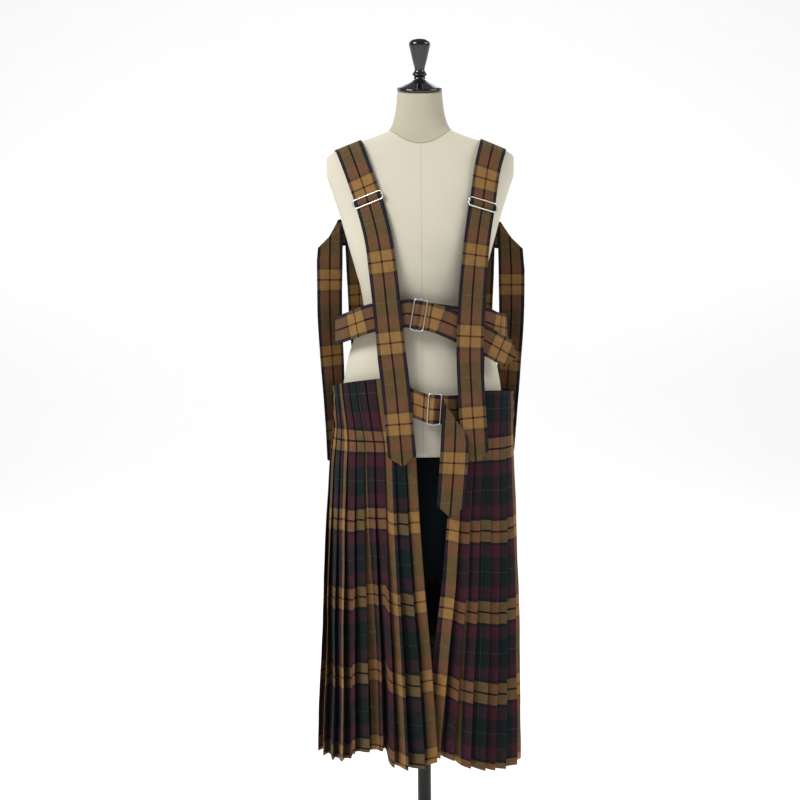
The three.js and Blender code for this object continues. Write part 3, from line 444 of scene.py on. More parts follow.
# Skirt
# Three panels of the tartan, two open fronts and one back, laid in knife pleats that all turn the same way.
# The pleats are pressed and stitched down to the hip, drawn in by elastic at the sides, and fall free below.
LAYER = 1.3  # from one layer of cloth to the next in a fold
# How far a pleat overlaps the next and stands out, where the stitching ends and at the hem
FELL_OVERLAP, FELL_DEPTH = 16.0, 3.5
HEM_OVERLAP, HEM_DEPTH = 8.0, 17.0
FELL_Z, TOP_Z, HEM_Z = 930.0, 994.0, 228.0
# Where the weave starts, where it ends and where a mustard band has its middle
CLOTH_TOP, CLOTH_HEM, BAND_Z = 1003.0, 263.0, 904.0
UPPER_ROWS = 20
# How wide, where and how tall the loose gathers at the side seams are
SIDE_GATHER, GATHER_Z, GATHER_HEIGHT = 60.0, 965.0, 42.0
# How far a front edge swings out or in at the hem, from what height, over what fall and what width
LAP, LAP_TOP, LAP_FALL, LAP_WIDTH = 12.0, 640.0, 340.0, 90.0
SKIRT = np.array([  # height, reach to the left, right, front and back, in millimetres
    (1010, 180, 185, 117, 124), (930, 178, 184, 118, 126), (862, 187, 186, 119, 130), (728, 195, 190, 121, 136),
    (560, 199, 191, 124, 142), (412, 202, 191, 127, 146), (250, 209, 190, 130, 150),
])[::-1]
EDGES = np.array([  # height, the left and the right front edge, sideways from the middle
    (1010, -24, 70), (873, -14, 58), (741, -8, 46), (595, 1, 34), (471, 11, 20), (260, 22, 0),
])[::-1]
TOPS = np.array([  # angle round the body, height of the top edge
    (0, 994), (90, 1002), (180, 1006), (225, 1023), (245, 1030), (262, 1014), (277, 1006), (300, 1004),
    (330, 1000), (360, 994),
])
# Angle and height of each panel's hem: on the left it steps up to a deep fold and down again past it
LEFT_HEM = np.array([
    (180, 252), (199, 250), (213, 252), (226, 262), (228, 276), (238, 283), (245, 285), (247.5, 292),
    (250, 268), (253, 262), (263, 258), (271, 266), (278, 272), (290, 274),
])
RIGHT_HEM = np.array([
    (265, 277), (279, 276), (286, 272), (291, 259), (302, 248), (312, 239), (328, 229), (339, 230), (350, 233),
    (360, 229),
])
BACK_HEM = np.array([(0, 229), (40, 236), (90, 245), (140, 249), (180, 252)])
# The place in the sett at each pleat's pressed edge, in order round the panel: given one by one on the two
# fronts, evenly spaced on the back, which the photo doesn't show
LEFT_STRIPES = np.array([75, 30, 112, 9, 150, 128, 60, 72, 49, 126, 20])
RIGHT_STRIPES = np.array([20, 66, 62, 118, 150, 92, 140, 44, 120])
BACK_STRIPES = 40 + 53 * np.arange(22)


def skirt_reach(left, z, first):
    """Half width or depth of the skirt's oval at a height: one column of the table, or the next opposite it."""
    one, other = (np.interp(z, SKIRT[:, 0], SKIRT[:, column]) for column in (first, first + 1))
    return np.where(left, one, other)


def skirt_place(angle, z, out):
    """The oval at a height, from half widths and reaches, moved out along its own normal."""
    side, depth = skirt_reach(np.cos(angle) < 0, z, 1), skirt_reach(np.sin(angle) < 0, z, 3)
    n = np.stack([np.cos(angle) / side, np.sin(angle) / depth])
    n = n / np.linalg.norm(n, axis=0)
    x, y = side * np.cos(angle) + n[0] * out, depth * np.sin(angle) + n[1] * out
    return np.stack([x, y, z + 0 * angle], -1)


def front_angle(x, z):
    """The angle at which the oval has a given sideways place on the front."""
    return 2 * np.pi - np.arccos(x / skirt_reach(x < 0, z, 1))


def pleat_corners(count, pitch, share, tuck):
    """Corners of the folded line, (rows, corners, 2) as distance along and out: each pleat rises to its
    pressed edge, turns back under itself and starts the next. Depth and overlap change down to the hem."""
    opened = smooth_step(share)
    overlap = FELL_OVERLAP + (HEM_OVERLAP - FELL_OVERLAP) * opened
    depth = FELL_DEPTH + (HEM_DEPTH - FELL_DEPTH) * opened
    i = np.arange(count - 1)
    inner = np.minimum(i + 1, count - 1 - i).clip(0, 1)
    sway = 2.2 * opened[:, None] * np.sin(1.9 * i + 0.6 + 2.4 * share[:, None]) * inner
    fold = (i + 1) * pitch[:, None] + sway
    swell = depth[:, None] * (1 + 0.16 * np.sin(2.3 * i + 0.7))
    rise = 2 * LAYER + (swell * 0.75 - 2 * LAYER) * smooth_step((depth[:, None] - FELL_DEPTH) / HEM_DEPTH)
    back = fold - overlap[:, None]
    flat = 0.2 * (pitch - overlap)[:, None]
    zero = 0 * fold
    body = np.stack([
        np.stack([back, rise], -1), np.stack([fold, swell], -1), np.stack([fold, swell - LAYER], -1),
        np.stack([back, LAYER + zero], -1), np.stack([back, zero], -1),
        np.stack([fold + flat, 0.2 + zero], -1),
    ], 2).reshape(len(pitch), -1, 2)
    first = np.stack([np.stack([-tuck + 0 * pitch, 0 * pitch], -1), np.stack([flat[:, 0], 0 * pitch], -1)], 1)
    ending = LAYER + 0.2
    last = np.stack([np.stack([(count - 0.55) * pitch, ending + 0 * pitch], -1),
                     np.stack([count * pitch, ending + 0 * pitch], -1)], 1)
    return np.concatenate([first, body, last], 1)


def thicken(piece, thickness):
    """Gives a sheet its thickness, half to each side."""
    cloth = piece.modifiers.new("cloth", "SOLIDIFY")
    cloth.thickness, cloth.offset = thickness, 0


def softened(corners, radii, between):
    """Each corner becomes a bend between two points a radius away, and each straight gets even steps. Owner
    says where each new point lies: the number of the straight and the share of the way along it."""
    before, corner, after = corners[:, :-2], corners[:, 1:-1], corners[:, 2:]
    one, two = before - corner, after - corner
    len_one = np.linalg.norm(one, axis=-1, keepdims=True) + 1e-9
    len_two = np.linalg.norm(two, axis=-1, keepdims=True) + 1e-9
    radius = radii[None, 1:-1, None]
    a = corner + one / len_one * np.minimum(radius, 0.42 * len_one)
    b = corner + two / len_two * np.minimum(radius, 0.42 * len_two)
    bend = 0.25 * a + 0.5 * corner + 0.25 * b
    starts = np.concatenate([corners[:, :1], b], 1)
    ends = np.concatenate([a, corners[:, -1:]], 1)
    pieces, owner = [starts[:, :1]], [0.0]
    for k in range(starts.shape[1]):
        steps = between[k]
        t = np.linspace(0, 1, steps + 1)[1:, None]
        pieces.append(starts[:, k:k + 1] * (1 - t) + ends[:, k:k + 1] * t)
        owner += list(k + t[:, 0] * 0.9)
        if k < starts.shape[1] - 1:
            pieces += [bend[:, k:k + 1], starts[:, k + 1:k + 2]]
            owner += [k + 0.95, k + 1.0]
    return np.concatenate(pieces, 1), np.array(owner)


def walked(points):
    """Length from the first column to each point of every row."""
    step = np.linalg.norm(np.diff(points, axis=1), axis=-1)
    return np.concatenate([np.zeros((len(points), 1)), step.cumsum(1)], 1)


def pleated(name, count, from_angle, to_angle, stripes, hems, tuck, lap_end, lap_way, weft_start, swells,
            gathered=False, lean=0, rows=84):
    """One panel as a grid: rows down the cloth, columns round the folded line. The line's distance along is
    turned into an angle of the oval at that height, and every point moves out by fold, lap and broad swells."""
    above, below = np.linspace(-1, 0, UPPER_ROWS, endpoint=False), np.linspace(0, 1, rows - UPPER_ROWS)
    down = np.concatenate([above, below])
    nominal = np.where(down <= 0, FELL_Z - (TOP_Z - FELL_Z) * down, FELL_Z + (HEM_Z - FELL_Z) * down)
    start, end = from_angle(nominal), to_angle(nominal)
    reach = np.linspace(-0.06, 1.06, 260)
    angles = start[:, None] + (end - start)[:, None] * reach
    length = walked(skirt_place(angles, nominal[:, None] + 0 * angles, 0))
    at_start = np.array([np.interp(0, reach, row) for row in length])
    total = np.array([np.interp(1, reach, row) for row in length]) - at_start
    length = length - at_start[:, None]
    corners = pleat_corners(count, total / count, down, tuck)
    # bend radii at the corners and steps on the straights: the start, six to each pleat, and the end
    radii = np.array([1.0, 5.0] + [5.0, 1.1, 1.1, 1.6, 1.6, 5.0] * (count - 1) + [5.0, 1.0])
    between = [2] + [2, 3, 1, 2, 1, 2] * (count - 1) + [2, 2]
    folded, owner = softened(corners, radii, between)
    along, out = folded[..., 0], folded[..., 1]
    height, down, total = nominal[:, None], down[:, None], total[:, None]

    # the loose gathers at the side seam wander and pucker, and the pleats may lean above the stitching
    side = along if lap_end else total - along
    at_waist = np.exp(-((height - GATHER_Z) / GATHER_HEIGHT) ** 2)
    loose = 0 if gathered else smooth_step(1 - side / SIDE_GATHER) * at_waist
    wavy = 2.4 * loose * np.sin(height / 3.3 + side / 6)
    upright, level = np.sin(side / 2.4 + 1.1 * np.sin(height / 11)), np.sin(height / 4.1 + side / 7)
    pucker = loose * (2.6 * upright + 1.6 * level)
    leaning = lean * np.sin(np.pi * np.clip(along / total, 0, 1)) * smooth_step((height - 880) / 125)
    angle = np.array([np.interp(a, l, g) for a, l, g in zip(along + wavy - leaning, length, angles)])
    degrees = np.degrees(angle) % 360
    degrees = np.where((degrees < 0.5) & (np.degrees(angle) > 300), 360.0, degrees)
    top = np.interp(degrees, TOPS[:, 0], TOPS[:, 1])
    hem = np.interp(degrees, hems[:, 0], hems[:, 1])
    z = np.where(down <= 0, FELL_Z - (top - FELL_Z) * down, FELL_Z + (hem - FELL_Z) * down)

    # how far the cloth stands off: the front edge's lap, broad swells, the elastic's ripple, slight crumpling
    edge = total - along if lap_end else along
    lift = lap_way * LAP * smooth_step((LAP_TOP - height) / LAP_FALL) * smooth_step(1 - edge / LAP_WIDTH)
    broad = sum(size * np.exp(-((along - centre * total) / width) ** 2) * smooth_step((down - begins) / 0.5)
                for centre, width, size, begins in swells)
    ends = smooth_step(along / 60) * smooth_step((total - along) / 60)
    ripple = 2 * ends * np.sin(2 * np.pi * along / 26) * (down < 0) if gathered else 0
    crumple = 0.35 * np.sin(along / 7.3 + height / 31) * np.sin(height / 17 + along / 19)
    belly = 0.9 * smooth_step(down / 0.6) * np.sin(height / 47 + 1.3 * np.floor(owner / 6))
    points = skirt_place(angle, z, out + lift + broad + ripple + pucker + crumple + belly)

    # place on the cloth: across is measured back from each pressed edge, the hidden folds take up the rest
    run = walked(folded)
    # the columns of the pressed edges and of the faces' starts: the bends after the third and sixth straights
    crease, begin = [[int(np.argmin(np.abs(owner - (first + 6 * i)))) for i in range(count - 1)]
                     for first in (2.95, 5.95)]
    crease, begin = crease + [folded.shape[1] - 1], [0] + begin
    across = np.zeros_like(run)
    for i in range(count):
        face = slice(begin[i], crease[i] + 1)
        across[:, face] = stripes[i] - (run[:, crease[i]][:, None] - run[:, face])
    for last, first in zip(crease[:-1], begin[1:]):
        share = (run[:, last:first + 1] - run[:, [last]]) / (run[:, [first]] - run[:, [last]])
        a, b = across[:, [last, first]].T[..., None]
        across[:, last:first + 1] = a + (b - a) * share
    weave_z = np.where(down <= 0, FELL_Z - (CLOTH_TOP - FELL_Z) * down, FELL_Z + (CLOTH_HEM - FELL_Z) * down)
    drift = 2.2 * np.sin(1.7 * np.floor(owner / 6)) * smooth_step(down / 0.3)
    weft = weave_z - BAND_Z + MUSTARD_MIDDLE + weft_start + drift
    # the cloth's reverse takes the darkened material: painted shade inside the skirt
    piece = new_mesh(name, points * 0.001, faces_of(rows, folded.shape[1]), skirt_reverse_shaded,
                     np.stack([across, weft + 0 * across], -1))
    piece.data.materials.append(skirt_tartan)
    thicken(piece, 0.0007)
    piece.modifiers["cloth"].material_offset = 1
    return piece


def turn_of(degrees):
    """A fixed angle at every height."""
    return lambda z: np.full_like(z, math.radians(degrees))


def left_edge(z):
    """The left panel's free front edge."""
    return front_angle(np.interp(z, EDGES[:, 0], EDGES[:, 1]), z)


def right_edge(z):
    """The right panel's free front edge."""
    return front_angle(np.interp(z, EDGES[:, 0], EDGES[:, 2]), z)


# Broad swells: middle as a share of the width, reach in millimetres, how far out, where they begin
LEFT_SWELLS = [(0.36, 30, 4, 0.2), (0.60, 17, -13, 0.1), (0.72, 30, 5, 0.2)]
RIGHT_SWELLS = [(0.30, 26, 3, 0.2), (0.72, 20, -4, 0.3)]
BACK_SWELLS = [(0.22, 30, 4, 0.2), (0.55, 26, -5, 0.2), (0.8, 30, 4, 0.3)]
front_left = pleated("front_left_panel", 11, turn_of(180), left_edge, LEFT_STRIPES, LEFT_HEM, tuck=6,
                     lap_end=True, lap_way=1, weft_start=0, swells=LEFT_SWELLS, lean=17)
front_right = pleated("front_right_panel", 9, right_edge, turn_of(360), RIGHT_STRIPES, RIGHT_HEM, tuck=0,
                      lap_end=False, lap_way=-1, weft_start=17, swells=RIGHT_SWELLS)
back_panel = pleated("back_panel", 22, turn_of(0), turn_of(180), BACK_STRIPES, BACK_HEM, tuck=6,
                     lap_end=True, lap_way=0, weft_start=4, swells=BACK_SWELLS, gathered=True, rows=64)
PANELS = {"skirt_front_left": (front_left, 0.60), "skirt_front_right": (front_right, 0.50),
          "skirt_back": (back_panel, 1.24)}
for node, (panel, width) in PANELS.items():
    stands_for(panel, node)

# Shoulder straps
# Two long straps, 55 mm wide, cut along the cloth so that one mustard stripe runs down the middle. Each is
# sewn inside the back waist, goes over the shoulder and through a slider, and hangs to a point below the waist.
WIDTH = 55.0
TIP_LENGTH = 20.0
PLY = 1.5
WIRE = 3.0
SHOULDER_SLIDER, BELT_SLIDER = 20.0, 28.0  # the sliders' width along the strap
CLEAR = 22.0  # to this far from a shoulder slider's middle, the strap's own rows give way to its passage
SHOULDER_LEFT = np.array([  # x, y, z of the strap's middle, the way its outer side faces, how far it looks up
    (-120, 97, 1062, 208, 0), (-126, 94, 1130, 210, 0), (-130, 88, 1220, 212, 0), (-134, 78, 1326, 213, 4),
    (-141, 68, 1410, 213, 18), (-146, 52, 1469, 220, 46), (-147, 30, 1485.6, 223, 62),
    (-146, 2, 1491.1, -90, 69), (-139, -44, 1478, -32, 46), (-124, -63, 1437, -24, 26),
    (-103, -81, 1375, -17, 12), (-86, -101, 1311, -16, 6), (-78, -104, 1262, -12, 2),
    (-68, -108, 1164, -8, 2), (-61, -114, 1091, -6, 2), (-53, -122, 1018, -6, 2),
    (-46, -126, 936, -5, 0), (-40, -128, 859, -5, 0),
], float)
SHOULDER_RIGHT = np.array([
    (120, 97, 1062, 152, 0), (126, 94, 1130, 150, 0), (130, 88, 1220, 148, 0), (134, 78, 1326, 147, 4),
    (141, 68, 1410, 147, 18), (146, 52, 1469, 140, 46), (147, 30, 1485.6, 137, 62), (147, 2, 1490.9, 90, 69),
    (142, -43, 1478, 32, 46), (131, -60, 1438, 26, 26), (119, -77, 1364, 24, 12), (110, -91, 1311, 23, 6),
    (104, -96, 1262, 20, 2), (96, -103, 1164, 14, 2), (92, -112, 1074, 14, 2), (94, -119, 1000, 16, 2),
    (98, -121, 930, 16, 0), (102, -122, 865, 16, 0),
], float)
FRONT_LEFT = np.array([(-60, -103.5, 1062, -13, 3), (-67, -100, 1150, -11, 3), (-83, -97, 1296, -17, 8)])
FRONT_RIGHT = np.array([(96, -96.5, 1062, 22, 3), (98, -92, 1150, 20, 3), (107, -84.5, 1290, 23, 7)])
SEWN = {"back_left": (127, 962, 1010, -3.6), "back_right": (53, 962, 1006, -3.6),
        "front_left": (252, 962, 1024, -1.5), "front_right": (301, 958, 1012, -1.5)}


def facing(rows):
    """Unit way out from the angles of each row: round the body from the front, and up."""
    face, rise = np.radians(rows[:, 3]), np.radians(rows[:, 4])
    return np.stack([np.cos(rise) * np.sin(face), -np.cos(rise) * np.cos(face), np.sin(rise)], -1)


def unit(v):
    """Vectors of length 1."""
    return v / (np.linalg.norm(v, axis=-1, keepdims=True) + 1e-12)


def stretch(rows, steps):
    """Sections along rows: a cubic through the middles, each with its way along, way out and way across."""
    middle, out = rows[:, :3], facing(rows)
    span = np.sqrt(np.linalg.norm(np.diff(middle, axis=0), axis=1))
    knot = np.concatenate([[0], span.cumsum()])
    slope = np.diff(middle, axis=0) / span[:, None]
    inner = (slope[1:] * span[:-1, None] + slope[:-1] * span[1:, None]) / (span[1:] + span[:-1])[:, None]
    tangent = np.vstack([slope[:1], inner, slope[-1:]])
    at = np.linspace(0, len(rows) - 1, (len(rows) - 1) * steps + 1)
    k = np.clip(at.astype(int), 0, len(rows) - 2)
    t = (at - k)[:, None]
    h = (knot[k + 1] - knot[k])[:, None]
    point = ((2 * t ** 3 - 3 * t ** 2 + 1) * middle[k] + (t ** 3 - 2 * t ** 2 + t) * h * tangent[k]
             + (3 * t ** 2 - 2 * t ** 3) * middle[k + 1] + (t ** 3 - t ** 2) * h * tangent[k + 1])
    way = unit(((6 * t ** 2 - 6 * t) * middle[k] + (6 * t - 6 * t ** 2) * middle[k + 1]) / h
               + (3 * t ** 2 - 4 * t + 1) * tangent[k] + (3 * t ** 2 - 2 * t) * tangent[k + 1])
    face = out[k] * (1 - t) + out[k + 1] * t
    face = unit(face - (face * way).sum(-1, keepdims=True) * way)
    return sections_of(point, way, face)


def sections_of(middle, way, face):
    """Sections from their middles, ways along and ways out: full width, cut square across."""
    return {"middle": middle, "tangent": way, "out": face, "across": np.cross(way, face),
            "wide": np.full(len(middle), WIDTH), "slant": np.zeros(len(middle))}


def joined(*parts):
    """Sections of several stretches, one after the other."""
    return {key: np.concatenate([part[key] for part in parts]) for key in parts[0]}


def blended(one, two, share):
    """Sections between the last of one stretch and the first of another, at the given shares of the way."""
    shares = {key: share.reshape((-1,) + (1,) * (one[key].ndim - 1)) for key in one}
    return {key: one[key][-1] + (two[key][0] - one[key][-1]) * shares[key] for key in one}


def some(part, keep):
    """The sections that a mask or slice keeps."""
    return {key: value[keep] for key, value in part.items()}


def sewn(key):
    """A stretch laid against the skirt's line, running up, with its width across the body."""
    degrees, low, high, out = SEWN[key]
    z = np.linspace(low, high, 6)
    angle = np.full(6, math.radians(degrees))
    middle = skirt_place(angle, z, out)
    face = unit(skirt_place(angle, z, out + 1.0) - middle)
    way = unit(np.gradient(middle, axis=0))
    return sections_of(middle, way, face)


def near(sections, z, front):
    """The place of the section nearest a height, on the front or on the back."""
    miss = np.abs(sections["middle"][:, 2] - z) + 1e6 * ((sections["middle"][:, 1] < 0) != front)
    return int(np.argmin(miss))


def slider_place(centre, along, out):
    """A slider's own frame: its middle, the strap's way through it and the way out of the cloth."""
    out = unit(out - np.dot(out, along) * along)
    return {"centre": centre, "along": along, "out": out, "across": np.cross(along, out)}


def local(slider, profile, flip=1):
    """A short stretch drawn in a slider's frame as (away, up) pairs."""
    profile = np.array(profile, float)
    slope = unit(np.gradient(profile, axis=0))
    way = slope[:, :1] * slider["along"] + slope[:, 1:] * slider["out"]
    across = np.repeat((flip * slider["across"])[None], len(profile), 0)
    middle = slider["centre"] + profile[:, :1] * slider["along"] + profile[:, 1:] * slider["out"]
    return {"middle": middle, "tangent": way, "out": np.cross(across, way), "across": across,
            "wide": np.full(len(profile), WIDTH), "slant": np.zeros(len(profile))}


STRAP_CLOTH = 1.2
BAR_RADIUS = 1.1
LOOP_RADIUS = BAR_RADIUS + 0.4 + STRAP_CLOTH / 2
FRAME_LIFT = WIRE / 2 + 0.3 + STRAP_CLOTH / 2
OVER_BAR = FRAME_LIFT + LOOP_RADIUS + PLY


def soft_profile(points):
    """A drawn profile with its corners eased: four steps between its points, then a short running mean."""
    points = np.array(points, float)
    at = np.linspace(0, len(points) - 1, (len(points) - 1) * 4 + 1)
    fine = np.stack([np.interp(at, np.arange(len(points)), points[:, c]) for c in (0, 1)], -1)
    mean = fine.copy()
    mean[1:-1] = 0.25 * fine[:-2] + 0.5 * fine[1:-1] + 0.25 * fine[2:]
    return mean


def through(slider, width):
    """Under one side of the slider, over its bar and under the other side."""
    side = width / 2 - WIRE / 2
    return local(slider, soft_profile([
        (-side - 10, 0), (-side, 0), (-side + 1.8, 0.4), (-3, OVER_BAR - 0.7), (0, OVER_BAR),
        (3, OVER_BAR - 0.7), (side - 1.8, 0.4), (side, 0), (side + 10, 0)]))


def bar_loop(slider, width):
    """In beneath the other strap, round the bar and back to a sewn stub."""
    side = width / 2 - WIRE / 2
    angle = -np.pi / 3 - 4 * np.pi / 3 * np.linspace(0, 1, 13)
    round_bar = np.stack([LOOP_RADIUS * np.cos(angle), FRAME_LIFT + LOOP_RADIUS * np.sin(angle)], -1)
    lead = [(side + 10, -2 * PLY), (side - 1.5, -2 * PLY), (4.2, -2 * PLY + 0.3)]
    return local(slider, np.vstack([lead, round_bar, [(side - 2.5, -PLY), (side + 30, -PLY)]]), flip=-1)


def strap(name, sections, node, band=0, tip=False, start=0.0, ripple=0.5, seed=0.0):
    """A flat strap as a grid of nine points across each section. Its long edges turn down a little where the
    cloth is folded under, it cups by a hair, a pointed end narrows evenly, and soft ripples run through it.
    The cloth map runs across from the mustard's middle, and along by true length from the section in band."""
    run = np.concatenate([[0], np.linalg.norm(np.diff(sections["middle"], axis=0), axis=1).cumsum()])
    if tip:
        point_from = run[-1] - TIP_LENGTH
        at = np.concatenate([run[run < point_from - 1], np.linspace(point_from, run[-1], 7)])
        k = np.clip(np.searchsorted(run, at, side="right") - 1, 0, len(run) - 2)
        t = (at - run[k]) / (run[k + 1] - run[k])
        sections = {key: value[k] + (value[k + 1] - value[k]) * t.reshape((-1,) + (1,) * (value.ndim - 1))
                    for key, value in sections.items()}
        run = at
    middle, out, way = sections["middle"], sections["out"], sections["tangent"]
    t = np.array([-1, -0.97, -0.86, -0.5, 0, 0.5, 0.86, 0.97, 1])
    narrow = np.clip(0.02 + 0.98 * (run[-1] - run) / TIP_LENGTH, 0, 1) if tip else np.ones(len(run))
    reach = t * (sections["wide"] * narrow / 2)[:, None]
    curl = 0.25 * (1 - t ** 2) - 0.35 * np.abs(t) ** 14
    wave = ripple * np.sin(run / 23 + seed)[:, None] * np.cos(1.3 * t + run[:, None] / 61 + seed)
    calm = smooth_step(run / 40)[:, None] * smooth_step((run[-1] - run) / 20)[:, None]
    lift = curl + wave * calm
    slide = (sections["slant"] * narrow)[:, None] * t
    points = (middle[:, None] + reach[..., None] * sections["across"][:, None] + lift[..., None] * out[:, None]
              + slide[..., None] * way[:, None])
    along = (run - run[band])[:, None] + MUSTARD_MIDDLE + start + sections["slant"][:, None] * t
    piece = new_mesh(name, points * 0.001, faces_of(len(middle), len(t)), strap_tartan,
                     np.stack([MUSTARD_MIDDLE + reach, along], -1))
    thicken(piece, STRAP_CLOTH * 0.001)
    stands_for(piece, node)


sliders = {}
shoulder = {}
SIDES = (  # rows of the strap and of its front part, heights of the slider and of a mustard band, ripples' seed
    ("left", SHOULDER_LEFT, FRONT_LEFT, 1375, 1257, 1.0),
    ("right", SHOULDER_RIGHT, FRONT_RIGHT, 1364, 1267, 2.6),
)
for side, rows, front_rows, slider_z, band_z, seed in SIDES:
    every = stretch(rows, 12)
    fine = stretch(rows, 40)
    at = near(fine, slider_z, True)
    slider = slider_place(fine["middle"][at], fine["tangent"][at], fine["out"][at])
    sliders[f"shoulder_{side}"] = (slider, SHOULDER_SLIDER)
    away = (every["middle"] - slider["centre"]) @ slider["along"]
    before = (every["middle"][:, 1] > -20) | (away < -CLEAR)
    after = ~before & (away > CLEAR)
    passage = through(slider, SHOULDER_SLIDER)
    whole = joined(sewn(f"back_{side}"), some(every, before), passage, some(every, after))
    strap(f"shoulder_strap_{side}", whole, f"strap_{side}", near(whole, band_z, True), tip=True, seed=seed)
    short = stretch(front_rows, 14)
    fixed = joined(sewn(f"front_{side}"), short, bar_loop(slider, SHOULDER_SLIDER))
    strap(f"front_strap_{side}", fixed, f"strap_front_{side}", ripple=0.2)
    shoulder[side] = (whole, short)

# Upper back belt and its hanging ends
# A belt laid flat over both straps below the shoulder blades. At each end it is folded on the slant behind the
# arm, and the rest hangs straight down past the waist to a point.
FOLD_LEFT = np.array([(-187, 52, 1316, 204, 0)], float)
FOLD_RIGHT = np.array([(187, 52, 1311, 156, 0)], float)
BACK_MIDDLE = np.array([(0, 100, 1340, 180, 0)], float)
SIDE_LEFT = np.array([(-187.5, 46, 1262, 19, 0), (-189, 53, 1150, 26, 0), (-185, 64, 1030, 34, 0),
                      (-181, 76, 930, 40, 0), (-178, 83, 828, 42, 0)], float)
SIDE_RIGHT = np.array([(188.5, 46, 1242, -19, 0), (189, 53, 1150, -26, 0), (184, 64, 1030, -34, 0),
                       (179, 76, 930, -40, 0), (175, 84, 846, -44, 0)], float)
SLANT = 26.0


CROSSING = PLY + 0.4


def rows_over(sections, z, front, order):
    """Two rows of a belt that crosses flat over a strap, 28 mm to each side of the strap's middle."""
    k = near(sections, z, front)
    middle, out, across = (sections[key][k] for key in ("middle", "out", "across"))
    face, rise = math.degrees(math.atan2(out[0], -out[1])), math.degrees(math.asin(out[2]))
    sideways = order if across[0] > 0 else -order
    p = [middle + across * side * sideways + out * CROSSING for side in (-28, 28)]
    return np.array([(q[0], q[1], z + q[2] - middle[2], face, rise) for q in p])


back_rows = np.vstack([FOLD_LEFT, rows_over(shoulder["left"][0], 1326, False, 1), BACK_MIDDLE,
                       rows_over(shoulder["right"][0], 1318, False, 1), FOLD_RIGHT])
back_belt = stretch(back_rows, 10)
place = np.arange(len(back_belt["slant"]))
ends = np.clip(1 - np.minimum(place, place[::-1]) / 8, 0, 1)
back_belt["slant"] = SLANT * ends * np.where(place < len(place) / 2, 1, -1)
strap("upper_back_belt", back_belt, "back_belt", start=60, seed=4.0)
TAILS = (("left", 0, SIDE_LEFT, 1224, 3.0), ("right", -1, SIDE_RIGHT, 1212, 0.4))
for side, end, rows, band_z, seed in TAILS:
    out = -back_belt["out"][end]
    down = np.array([0, 0, -1.0])
    outward = back_belt["tangent"][end] * (-1 if side == "left" else 1)
    top = sections_of((back_belt["middle"][end] + out * 3.2)[None], down[None], out[None])
    top["slant"] = SLANT * np.sign(top["across"] @ outward)
    hanging = stretch(rows, 12)
    tail = joined(blended(top, hanging, np.linspace(0, 0.9, 7)), hanging)
    strap(f"side_tail_{side}_cloth", tail, f"side_tail_{side}", near(tail, band_z, False), tip=True, seed=seed)

# Midriff belt
# Two halves that start behind, pass over the back straps and round the waist, and cross the front straps.
# The right half ends round the slider's bar; the left half goes through the slider and lies on as a loose tail.
MIDRIFF_LEFT_BACK = np.array([(14, 105, 1128, 178, 0), (-50, 105, 1128, 184, 0)], float)
MIDRIFF_LEFT_SIDE = np.array([(-166, 52, 1121, 243, 0), (-175, 12, 1120, 268, 0), (-163, -38, 1124, 304, 0),
                              (-130, -75, 1136, 322, 0)], float)
MIDRIFF_RIGHT_BACK = np.array([(-14, 106.6, 1128, 182, 0), (50, 106.6, 1128, 176, 0)], float)
MIDRIFF_RIGHT_SIDE = np.array([(166, 52, 1124, 117, 0), (174, 12, 1123, 92, 0), (166, -36, 1124, 60, 0),
                               (142, -68, 1130, 36, 0)], float)
MIDRIFF_TAIL = np.array([(31, -109.8, 1144, 3, 0), (66, -108.5, 1128, 12, 0), (98, -101.5, 1113, 20, 0),
                         (124, -92, 1100, 26, 0), (157, -76, 1081, 30, 0), (186, -58, 1064, 32, 0)], float)


def flat_slider(x, y, z, face, tilt):
    """A slider that lies upright on the front, its strap running to the right and down by the tilt."""
    out = facing(np.array([(x, y, z, face, 0)], float))[0]
    along = np.array([math.cos(math.radians(tilt)), 0, -math.sin(math.radians(tilt))])
    return slider_place(np.array([x, y, z], float), unit(along - np.dot(along, out) * out), out)


midriff_slider = flat_slider(-7, -108, 1151.5, 0, 10)
sliders["midriff"] = (midriff_slider, BELT_SLIDER)
half_left = np.vstack([MIDRIFF_LEFT_BACK, rows_over(shoulder["left"][0], 1128, False, -1), MIDRIFF_LEFT_SIDE,
                       rows_over(shoulder["left"][1], 1150, True, 1)])
lap_tail = stretch(MIDRIFF_TAIL, 10)
left_belt = joined(stretch(half_left, 9), through(midriff_slider, BELT_SLIDER), some(lap_tail, slice(3, None)))
band = int(np.argmin(np.abs(left_belt["middle"][:, 0] - 16) + 1e3 * (left_belt["middle"][:, 1] > 0)))
strap("midriff_belt_left_cloth", left_belt, "midriff_belt_left", band, tip=True, seed=5.0)
half_right = np.vstack([MIDRIFF_RIGHT_BACK, rows_over(shoulder["right"][0], 1128, False, 1), MIDRIFF_RIGHT_SIDE,
                        rows_over(shoulder["right"][1], 1138, True, -1)])
right_belt = joined(stretch(half_right, 9), bar_loop(midriff_slider, BELT_SLIDER))
strap("midriff_belt_right_cloth", right_belt, "midriff_belt_right", seed=6.0)

# Waist belt
# Two short pieces sewn to the top corners of the fronts. The right one ends round the slider's bar; the left
# one goes through the slider, is folded over on the slant and hangs down the open front to a point.
waist_slider = flat_slider(21.5, -123, 970, 2, 4)
sliders["waist"] = (waist_slider, BELT_SLIDER)
WAIST_TAIL = np.array([(60.5, -134.5, 900, 5, 0), (57.5, -135.5, 850, 5, 0), (50.5, -136.5, 761, 4, 0)], float)
# The fold's middle; how far below level the belt comes in, the fold line runs and the end goes on, in degrees
FOLD_MIDDLE = np.array([62.0, -131.5, 950.0])
FOLD_IN, FOLD_LINE, FOLD_OUT = 14.0, 56.0, 98.0
FOLD_SLANT = WIDTH / 2 / math.tan(math.radians(FOLD_LINE - FOLD_IN))


